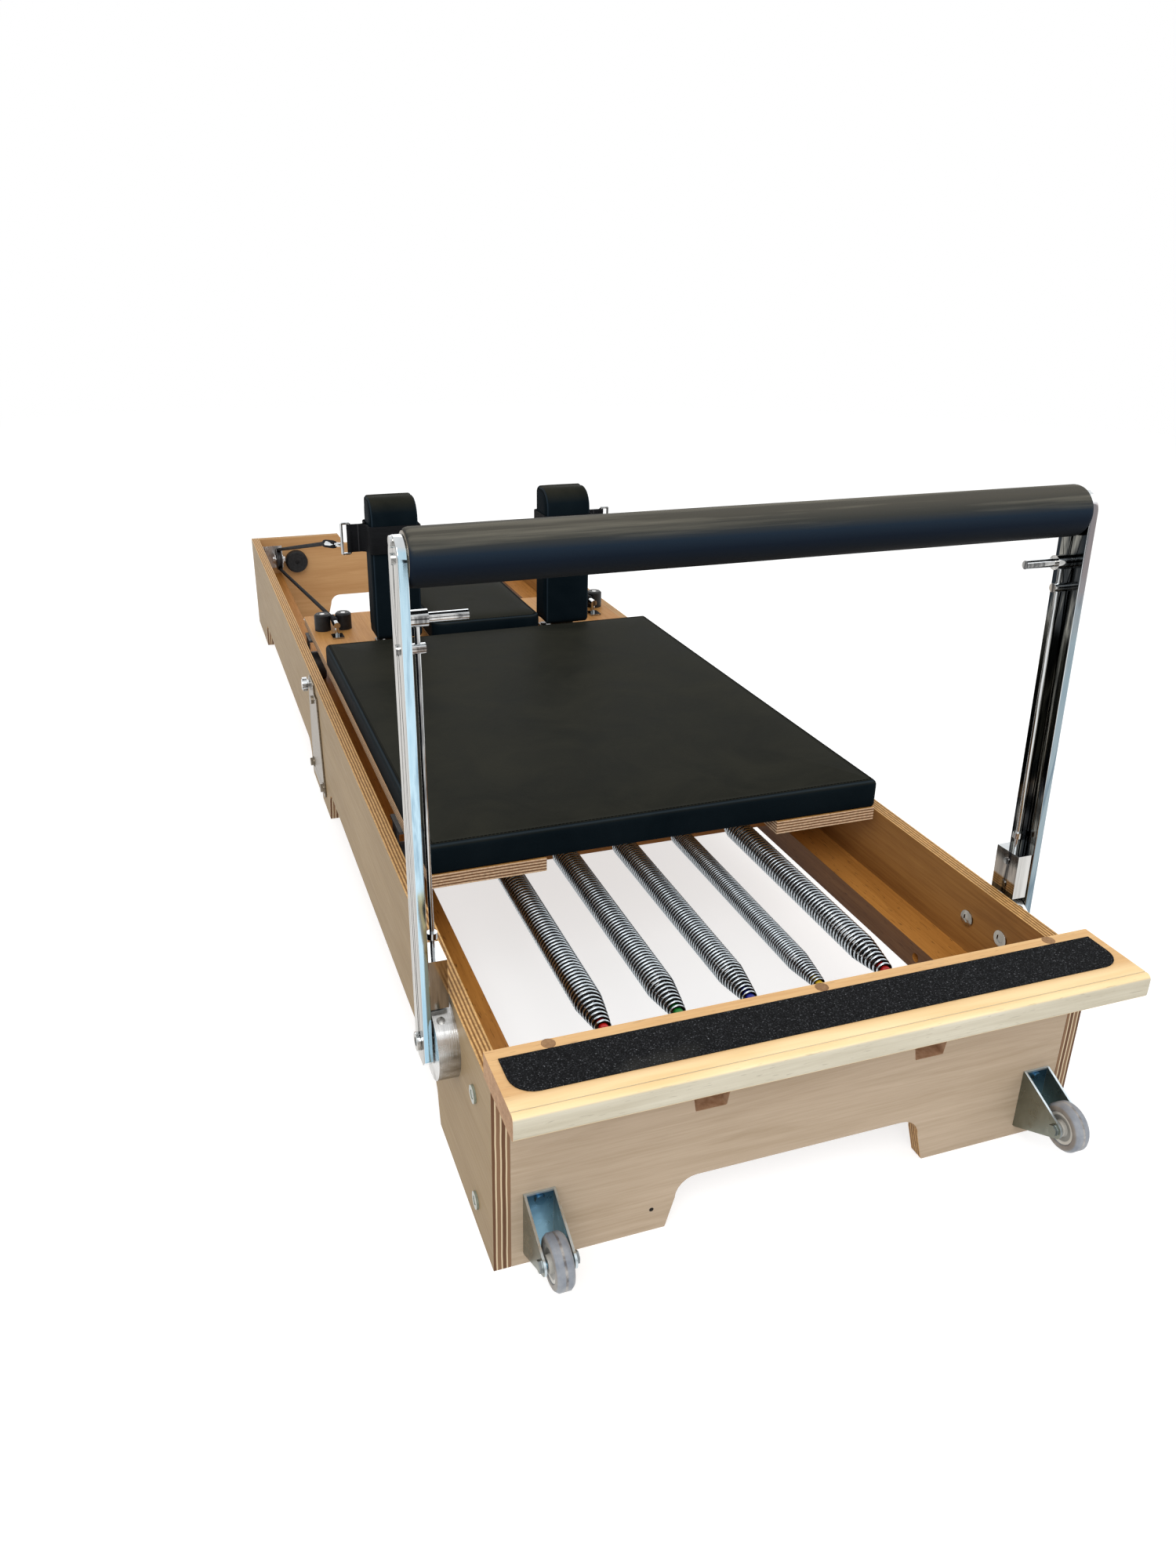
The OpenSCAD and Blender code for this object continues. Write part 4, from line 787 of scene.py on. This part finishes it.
for i, (word, turns, wide, thick, tint) in enumerate((
    ("red_left", 63, 0.0172, 0.0020, (196, 24, 20)), ("green", 68, 0.0172, 0.0018, (20, 130, 44)),
    ("blue", 75, 0.0163, 0.00165, (20, 30, 150)), ("yellow", 94, 0.0138, 0.00135, (226, 186, 20)),
    ("red_right", 63, 0.0172, 0.0020, (196, 24, 20)),
)):
    x = (i - 2) * SPRING_GAP
    t = np.linspace(0, 1, turns * STEPS_PER_TURN + 1)
    run = SPRING_END - SPRING_START
    opening = np.clip(t * run / CONE, 0, 1)
    closing = np.clip((1 - t) * run / TAIL, 0, 1)
    narrow = (NECK + (1 - NECK) * opening ** 0.9) * (NECK + (1 - NECK) * closing)
    a = 2 * np.pi * turns * t
    winding = (wide - thick) * narrow
    ahead = SEAM + SPRING_START + thick + (run - 2 * thick) * t
    line = np.stack([x + winding * np.cos(a), ahead, SPRING_Z + winding * np.sin(a)], 1)
    coil = tube(f"spring_coil_{word}", line, thick, WIRE_SIDES, None, up=(0, 1, 0))
    coil.data.materials.append(wire)
    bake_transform(coil)
    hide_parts(f"spring_{word}")
    dark = tuple(int(c * 0.72) for c in tint)
    tip_line = np.array([(x, y + SEAM, SPRING_Z) for y in TIP_AT])
    radii = TIP_RADII * (THIN_TIP if word == "yellow" else 1)
    tip = tube(f"spring_tip_{word}", tip_line, radii, TIP_SIDES, "front_frame")
    tip.data.materials.append(cloudy(f"tip_{word}", dark, tint, 160.0, 3.0, Roughness=0.35, Coat_Weight=0.3))

# Carriage: birch plywood board with a wide notch at the front, on hardwood battens.
CARRIAGE_WOOD = ((190, 140, 80), (158, 108, 56))
BOARD_EDGE = ((232, 202, 167), (126, 88, 62))
BOARD_LOW, HEADREST_LOW = 0.221, 0.239
board_ply = wood("board_ply", *CARRIAGE_WOOD, "Y", layers=("Z", BOARD_LOW), pores=0.2,
                 edge_colours=BOARD_EDGE)
rest_ply = wood("rest_ply", *CARRIAGE_WOOD, "Y", layers=("Z", HEADREST_LOW), pores=0.2,
                edge_colours=BOARD_EDGE)
dressed("carriage_board", board_ply)
dressed("carriage_battens", tie_wood)
dressed("headrest_board", rest_ply)

# Upholstery: the carriage pad, headrest and shoulder rests are foam covered in black leather-like vinyl, with
# its top painted olive black and its sides blue black as reflections. A stitched seam runs round the edge of
# each top, and round both sides of each shoulder rest, with painted shade in its groove and a painted bluish
# highlight just below it.
SIDE_STEPS, CORNER_STEPS = 36, 8
DRAW, DRAW_ON_TOP = 0.0012, 0.0006
BEND = np.radians((15, 35, 55, 72))
GROOVE = ((-0.0014, -0.0002), (-0.0004, -0.0012), (0.0004, -0.0012), (0.0016, 0.0002))
GROOVE_RING = len(BEND) + 1
SHARES = (1.0, 0.985, 0.96, 0.92, 0.87, 0.8, 0.7, 0.58, 0.45, 0.32, 0.19, 0.08)
RIPPLES, RIPPLE, BELOW = 7, 0.00022, 0.0002
WAIST, EASED_FOOT = (0.3, 0.5, 0.68), ((0.004, 0.0), (0.0012, 0.0012), (0, 0.004))


def rounded(size, radii, inset, draw):
    """Points round a rectangle that lies inset inside that size, with a radius for each corner. Each side is
    drawn in by a parabola, which is as deep as draw in its middle."""
    half = np.array(size) / 2 - inset
    arcs = []
    for q, (sign, radius) in enumerate(zip(((1, 1), (-1, 1), (-1, -1), (1, -1)), radii)):
        r = max(radius - inset, 0.0015)
        turn = np.radians(90 * q + 90 * np.arange(CORNER_STEPS + 1) / CORNER_STEPS)
        arcs.append((half - r) * sign + r * np.stack([np.cos(turn), np.sin(turn)], 1))
    f = (np.arange(1, SIDE_STEPS) / SIDE_STEPS)[:, None]
    found = []
    for q, inward in enumerate(((0, -1), (1, 0), (0, 1), (-1, 0))):
        a, b = arcs[q][-1], arcs[(q + 1) % 4][0]
        found += [arcs[q], a + (b - a) * f + np.array(inward) * draw * 4 * f * (1 - f)]
    return np.concatenate(found)


def level(outline, height):
    """A ring of points: the outline at that height."""
    return np.column_stack([outline, np.broadcast_to(height, len(outline))])


def cushion(name, size, thick, radii, crown, body, stand, node, soft=0.008, seam=0.0068, both=False):
    """Padded block over an outline of that size. Its walls bend over into the top on a quarter round of the
    radius soft. At seam from its sides runs a sewn groove. Inside it the top lies lower than its middle by
    crown times the tenth power of the share of the way out, and a few sine ripples that fade out at the seam
    are added. It is flat below, or sewn and crowned on both faces. stand turns its points into the part's
    frame. Its UV map has metres round the seam and metres from it, towards the top."""
    rim = [(soft * (1 - math.cos(a)), -crown - soft + soft * math.sin(a)) for a in BEND]
    rim += [(seam + inward, -crown + high) for inward, high in GROOVE]
    upper = [level(rounded(size, radii, inset, DRAW if inset < 0.003 else DRAW_ON_TOP), thick + high)
             for inset, high in rim]
    edge = rounded(size, radii, seam + 0.003, DRAW_ON_TOP)
    rng = np.random.default_rng(len(name) * 7 + 3)
    waves = [(rng.uniform(8, 26, 2), rng.uniform(0, 6.28), rng.uniform(0.2, 1)) for _ in range(RIPPLES)]
    for share in SHARES:
        flat = edge * share
        ripple = sum(s * np.sin(k[0] * flat[:, 0] + k[1] * flat[:, 1] + p) for k, p, s in waves)
        height = thick - crown * share ** 10 - BELOW + ripple * RIPPLE * min(1, 3 * (1 - share))
        upper.append(level(flat, height))
    outer = rounded(size, radii, 0.0, DRAW)
    waist = [level(outer, thick * share) for share in WAIST]
    if both:
        lower = [np.column_stack([ring[:, :2], thick - ring[:, 2]]) for ring in upper[::-1]]
    else:
        lower = [level(rounded(size, radii, inset, DRAW), high) for inset, high in EASED_FOOT]
    poles = [[0, 0, BELOW if both else 0], [0, 0, thick - BELOW]]
    rings = lower + waist + upper
    n, last = len(edge), (len(rings) - 1) * len(edge)
    points = np.concatenate(rings + [np.array(poles)])
    faces = joined(len(rings), n)
    faces += [((k + 1) % n, k, len(points) - 2) for k in range(n)]
    faces += [(last + k, last + (k + 1) % n, len(points) - 1) for k in range(n)]
    pad = make(name, stand(points), faces, body)
    across = np.array([np.linalg.norm(ring[0]) for ring in np.diff(np.array(rings), axis=0)])
    up = np.concatenate([[0], np.cumsum(across)])
    from_seam = up - up[len(rings) - len(upper) + GROOVE_RING]
    if both:
        other = up[len(upper) - 1 - GROOVE_RING] - up
        from_seam = np.where(np.abs(other) < np.abs(from_seam), other, from_seam)
    far = lengths(np.concatenate([outer, outer[:1]]))
    row, k = np.meshgrid(np.arange(len(rings) - 1), np.arange(n), indexing="ij")
    u = np.stack([far[k], far[k + 1], far[k + 1], far[k]], -1)
    v = np.stack([from_seam[row], from_seam[row], from_seam[row + 1], from_seam[row + 1]], -1)
    charted(pad, "seam", u, v, (0.0, 0.5))
    pad.data.materials.append(vinyl)
    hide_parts(node)


STITCH, STITCHED, SEWING_LINE = 0.005, 0.68, 0.0026
vinyl, tree, shader = surface("vinyl", Roughness=0.45, Specular_IOR_Level=0.006)
pores = put(tree, "TexVoronoi", place(tree), 620.0).outputs["Distance"]
fold = noise(place(tree), 9.0, 5.0, 0.6, 0.6)
# Painted reflections: olive black on the top, blue black on the sides.
top = shades(fold, (30, 31, 27), (42, 42, 36))
wall = shades(fold, (10, 18, 23), (18, 26, 31))
tone = mixed(step(parts(tree, "Normal")[2], 0.35, 0.85), wall, top)
sewing = parts(tree, "UV")
thread = maths("LESS_THAN", maths("FRACT", maths("DIVIDE", sewing[0], STITCH)), STITCHED)
on_line = maths("ABSOLUTE", maths("SUBTRACT", sewing[1], SEWING_LINE))
on_line = step(on_line, 0.0007, 0.0004)
# Painted shade in the sewn groove.
groove = step(maths("ABSOLUTE", sewing[1]), 0.0010, 0.0004)
tone = mixed(maths("MULTIPLY", thread, on_line), tone, (4, 5, 6))
tone = mixed(groove, tone, (4, 5, 6))
# A painted bluish highlight on the roll just below the seam.
glint = step(maths("ABSOLUTE", maths("ADD", sewing[1], 0.004)), 0.0025, 0.0005)
tone = mixed(maths("MULTIPLY", glint, 0.5), tone, (44, 56, 66))
into(shader, "Base Color", tone)
into(shader, "Roughness", shades(fold, 0.4, 0.52))
relief = maths("ADD", maths("MULTIPLY", pores, 0.5), maths("MULTIPLY", fold, 2.0))
bumped(shader, relief, 0.28, 0.0006)

PAD, PAD_THICK, PAD_REAR, PAD_Z = (0.620, 0.811), 0.044, 0.034, 0.239
HEADREST, HEADREST_THICK, HEADREST_FRONT, HEADREST_Z = (0.210, 0.276), 0.045, 0.055, 0.251
REST, REST_THICK, REST_RADII = (0.070, 0.258), 0.090, (0.014, 0.038, 0.010, 0.010)
REST_X, REST_MID, REST_Z = 0.165, 0.110, 0.262


def upright(points, side):
    """Points of a cushion stood up at one side: its length goes up, its width back and its crown across."""
    return np.stack([side * REST_X + points[:, 2] - REST_THICK / 2, REST_MID + SEAM + points[:, 0],
                     points[:, 1] + REST_Z + REST[1] / 2], 1)


cushion("pad_cover", PAD, PAD_THICK, (0.008,) * 4, 0.0045, "carriage",
        lambda p: p + (0, PAD_REAR - PAD[1] / 2 + SEAM, PAD_Z), "carriage_pad")
cushion("headrest_cover", HEADREST, HEADREST_THICK, (0.022,) * 4, 0.005, "headrest",
        lambda p: p + (0, HEADREST_FRONT + HEADREST[1] / 2 + SEAM, HEADREST_Z), "headrest_pad")
for side, word in ((-1, "left"), (1, "right")):
    cushion(f"shoulder_cover_{word}", REST, REST_THICK, REST_RADII, 0.0025, "carriage",
            lambda p, side=side: upright(p, side), f"shoulder_rest_{word}", 0.006, 0.0052, both=True)

# Padded bar: a charcoal rubber foam sleeve on the steel tube between the arms, painted greyer along its top
# with light streaks as its sheen, bluish on its sides as a reflection, and darker underneath. Its ends are
# softly rounded.
PIVOT_Y, PIVOT_Z, ARM, LEAN = -1.0, 0.175, 0.503, math.radians(2)
BAR = np.array([0, PIVOT_Y + ARM * math.sin(LEAN) + SEAM, PIVOT_Z + ARM * math.cos(LEAN)])
SLEEVE_HALF, SLEEVE, TUBE, SLEEVE_END = 0.363, 0.0275, 0.0243, 0.006
SLEEVE_STEPS, SLEEVE_SIDES = 120, 64
BUMP, SUNK, SUNK_ABOVE = 0.00002, 0.0003, 0.027
rng = np.random.default_rng(11)
bumps = [(rng.uniform(4, 40), rng.uniform(0, 6.28), rng.uniform(0, 6.28)) for _ in range(9)]
turn = 2 * np.pi * np.arange(SLEEVE_SIDES) / SLEEVE_SIDES
bend = np.radians((80, 60, 40, 20))
end_x = SLEEVE_HALF - SLEEVE_END * (1 - np.sin(bend))
end_radius = SLEEVE - SLEEVE_END * (1 - np.cos(bend))
middle = np.linspace(SLEEVE_END - SLEEVE_HALF, SLEEVE_HALF - SLEEVE_END, SLEEVE_STEPS)
x = np.concatenate([[-SLEEVE_HALF], -end_x, middle, end_x[::-1], [SLEEVE_HALF, 0.2, 0.0, -0.2]])[:, None]
radius = np.concatenate([[TUBE], end_radius, 0 * middle + SLEEVE, end_radius[::-1], [TUBE] * 4])[:, None]
wobble = sum(np.sin(k * x + p) + np.sin(turn + q + k * x * 0.2) for k, p, q in bumps) * BUMP
wide = radius + np.where(radius > SUNK_ABOVE, wobble - SUNK, 0)
points = np.stack([x + 0 * wide, wide * np.cos(turn), wide * np.sin(turn)], -1) + BAR
sleeve = make("bar_cover", points.reshape(-1, 3), joined(len(x), SLEEVE_SIDES, closed=True), "footbar")
sleeve_rubber, tree, shader = surface("sleeve_rubber", Roughness=0.6, Specular_IOR_Level=0.03)
sheen_streaks = noise(place(tree, (2.5, 80, 80)), 1.0, 5.0, 0.6)
speck = noise(place(tree), 900.0, 2.0)
up = parts(tree, "Normal")[2]
# Painted light: greyer on top as sheen, bluish on the sides as a reflection, darker underneath.
tone = ramp(put(tree, "MapRange", up, -1.0, 1.0, 0.0, 1.0).outputs[0], (0.1, (24, 26, 28)),
            (0.40, (18, 26, 37)), (0.60, (27, 38, 50)), (0.76, (52, 53, 51)), (0.93, (72, 70, 64)))
# Painted highlight streaks along the top.
wear_and_sheen = maths("MULTIPLY", step(sheen_streaks, 0.50, 0.66), step(up, 0.1, 0.8))
tone = mixed(maths("MULTIPLY", wear_and_sheen, 0.45), tone, (128, 124, 112))
into(shader, "Base Color", tone)
into(shader, "Roughness", shades(sheen_streaks, 0.5, 0.68))
bumped(shader, speck, 0.2, 0.0003)
sleeve.data.materials.append(sleeve_rubber)
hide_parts("bar_sleeve")

# Small black parts: rubber bumpers with raised rings, the rope guides with a bright screw in each, and the
# painted steel posts under the shoulder rests.
rubber, tree, shader = surface("black_rubber", Roughness=0.6, Specular_IOR_Level=0.25)
mould = noise(place(tree), 180.0, 4.0)
BUMPER_X, BUMPER_Z, RINGS = 0.231, 0.163, 900.0
raised = maths("ABSOLUTE", maths("SUBTRACT", parts(tree)[2], BUMPER_Z))
from_axis = maths("ADD", maths("POWER", from_pair(tree, BUMPER_X), 2.0), maths("POWER", raised, 2.0))
ringed = maths("SINE", maths("MULTIPLY", maths("SQRT", from_axis), RINGS))
into(shader, "Base Color", shades(mould, (18, 18, 19), (34, 34, 35)))
bumped(shader, maths("ADD", maths("MULTIPLY", mould, 0.3), ringed), 0.3, 0.0005)
dressed("rear_bumpers", rubber, 0.001)
guide_rubber = cloudy("guide_rubber", (14, 14, 15), (30, 30, 31), 140.0, relief=(0.15, 0.0004), Roughness=0.5,
                      Specular_IOR_Level=0.3)
dressed("rope_guides", guide_rubber, 0.002, 3)
GUIDE_X, SCREW_OFF, SCREW_Y, SCREW_Z, SCREW, SCREW_RISE = 0.264, 0.0205, 0.248, 0.2695, 0.0052, 0.0022
for i, x in enumerate(guide + off for guide in (-GUIDE_X, GUIDE_X) for off in (-SCREW_OFF, SCREW_OFF)):
    button(f"guide_screw_{i}", np.array((x, SCREW_Y + SEAM, SCREW_Z)), SCREW, SCREW_RISE, "carriage",
           bright_steel)
post_paint = cloudy("post_paint", (20, 20, 21), (32, 32, 33), 240.0, 3.0, Roughness=0.4, Coat_Weight=0.2)
dressed("shoulder_posts", post_paint)

# Shoulder straps: black nylon webbing, 50 mm wide, looped round each rest. Both ends run side by side to the
# ring, round it, and are sewn together.
SEWN_X = 0.2265
webbing, tree, shader = surface("webbing", Roughness=0.85, Specular_IOR_Level=0.15)
ribs = put(tree, "TexWave", place(tree, (1, 1, 0.35)), 420.0, bands_direction="DIAGONAL")
across = noise(place(tree, (30, 30, 700)), 1.0, 2.0)
tone = ramp(maths("MULTIPLY", ribs.outputs["Fac"], across), (0.1, (5, 6, 8)), (0.55, (26, 27, 30)))
sewn = step(from_pair(tree, SEWN_X), 0.0012, 0.0005)
into(shader, "Base Color", mixed(sewn, tone, (52, 52, 54)))
bumped(shader, ribs.outputs["Fac"], 0.6, 0.0005)
STRAP_HALF, WEB, EASE, STRAP_STEP = 0.025, 0.0025, 0.0006, 0.003
RING_X, RING_BEND, STRAP_Z = 0.242, 0.00375, 0.448
CORNER_BEND, INNER_X, OUTER_X, FRONT_Y, BACK_Y = 0.00635, 0.125, 0.205, 0.080, 0.140


def arc(x, y, radius, start, end):
    """Eight points on a circle round (x, y), evenly from one angle to the other in degrees."""
    turn = np.radians(np.linspace(start, end, 8))
    return np.stack([x + radius * np.cos(turn), y + radius * np.sin(turn)], 1)


ends = np.array([(0.238, 0.00135), (0.2215, 0.00135), (0.2165, 0.0035), (0.2128, 0.008), (0.21135, 0.014)])
loop = np.concatenate([
    arc(RING_X, REST_MID, RING_BEND, 90, -90), ends * (1, -1) + (0, REST_MID),
    arc(OUTER_X, FRONT_Y, CORNER_BEND, 0, -90), arc(INNER_X, FRONT_Y, CORNER_BEND, -90, -180),
    arc(INNER_X, BACK_Y, CORNER_BEND, 180, 90), arc(OUTER_X, BACK_Y, CORNER_BEND, 90, 0),
    ends[::-1] + (0, REST_MID),
])
loop = along(np.concatenate([loop, loop[:1]]), STRAP_STEP)[:-1]
ahead = np.roll(loop, -1, 0) - np.roll(loop, 1, 0)
ahead /= np.linalg.norm(ahead, axis=1)[:, None]
square = np.stack([ahead[:, 1], -ahead[:, 0]], 1)
off, rise = np.array([
    (-WEB / 2, EASE - STRAP_HALF), (-WEB / 2, STRAP_HALF - EASE), (EASE - WEB / 2, STRAP_HALF),
    (WEB / 2 - EASE, STRAP_HALF), (WEB / 2, STRAP_HALF - EASE), (WEB / 2, EASE - STRAP_HALF),
    (WEB / 2 - EASE, -STRAP_HALF), (EASE - WEB / 2, -STRAP_HALF),
]).T
flat = loop[:, None] + square[:, None] * off[:, None]
for side, word in ((-1, "left"), (1, "right")):
    points = np.stack([side * flat[..., 0], flat[..., 1] + SEAM, 0 * flat[..., 0] + STRAP_Z + rise], -1)
    faces = joined(len(loop), len(off), closed=True)
    if side < 0:
        faces = [f[::-1] for f in faces]
    strap = make(f"rest_strap_{word}", points.reshape(-1, 3), faces, "carriage")
    strap.data.materials.append(webbing)
    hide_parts("rest_straps")

low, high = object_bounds()
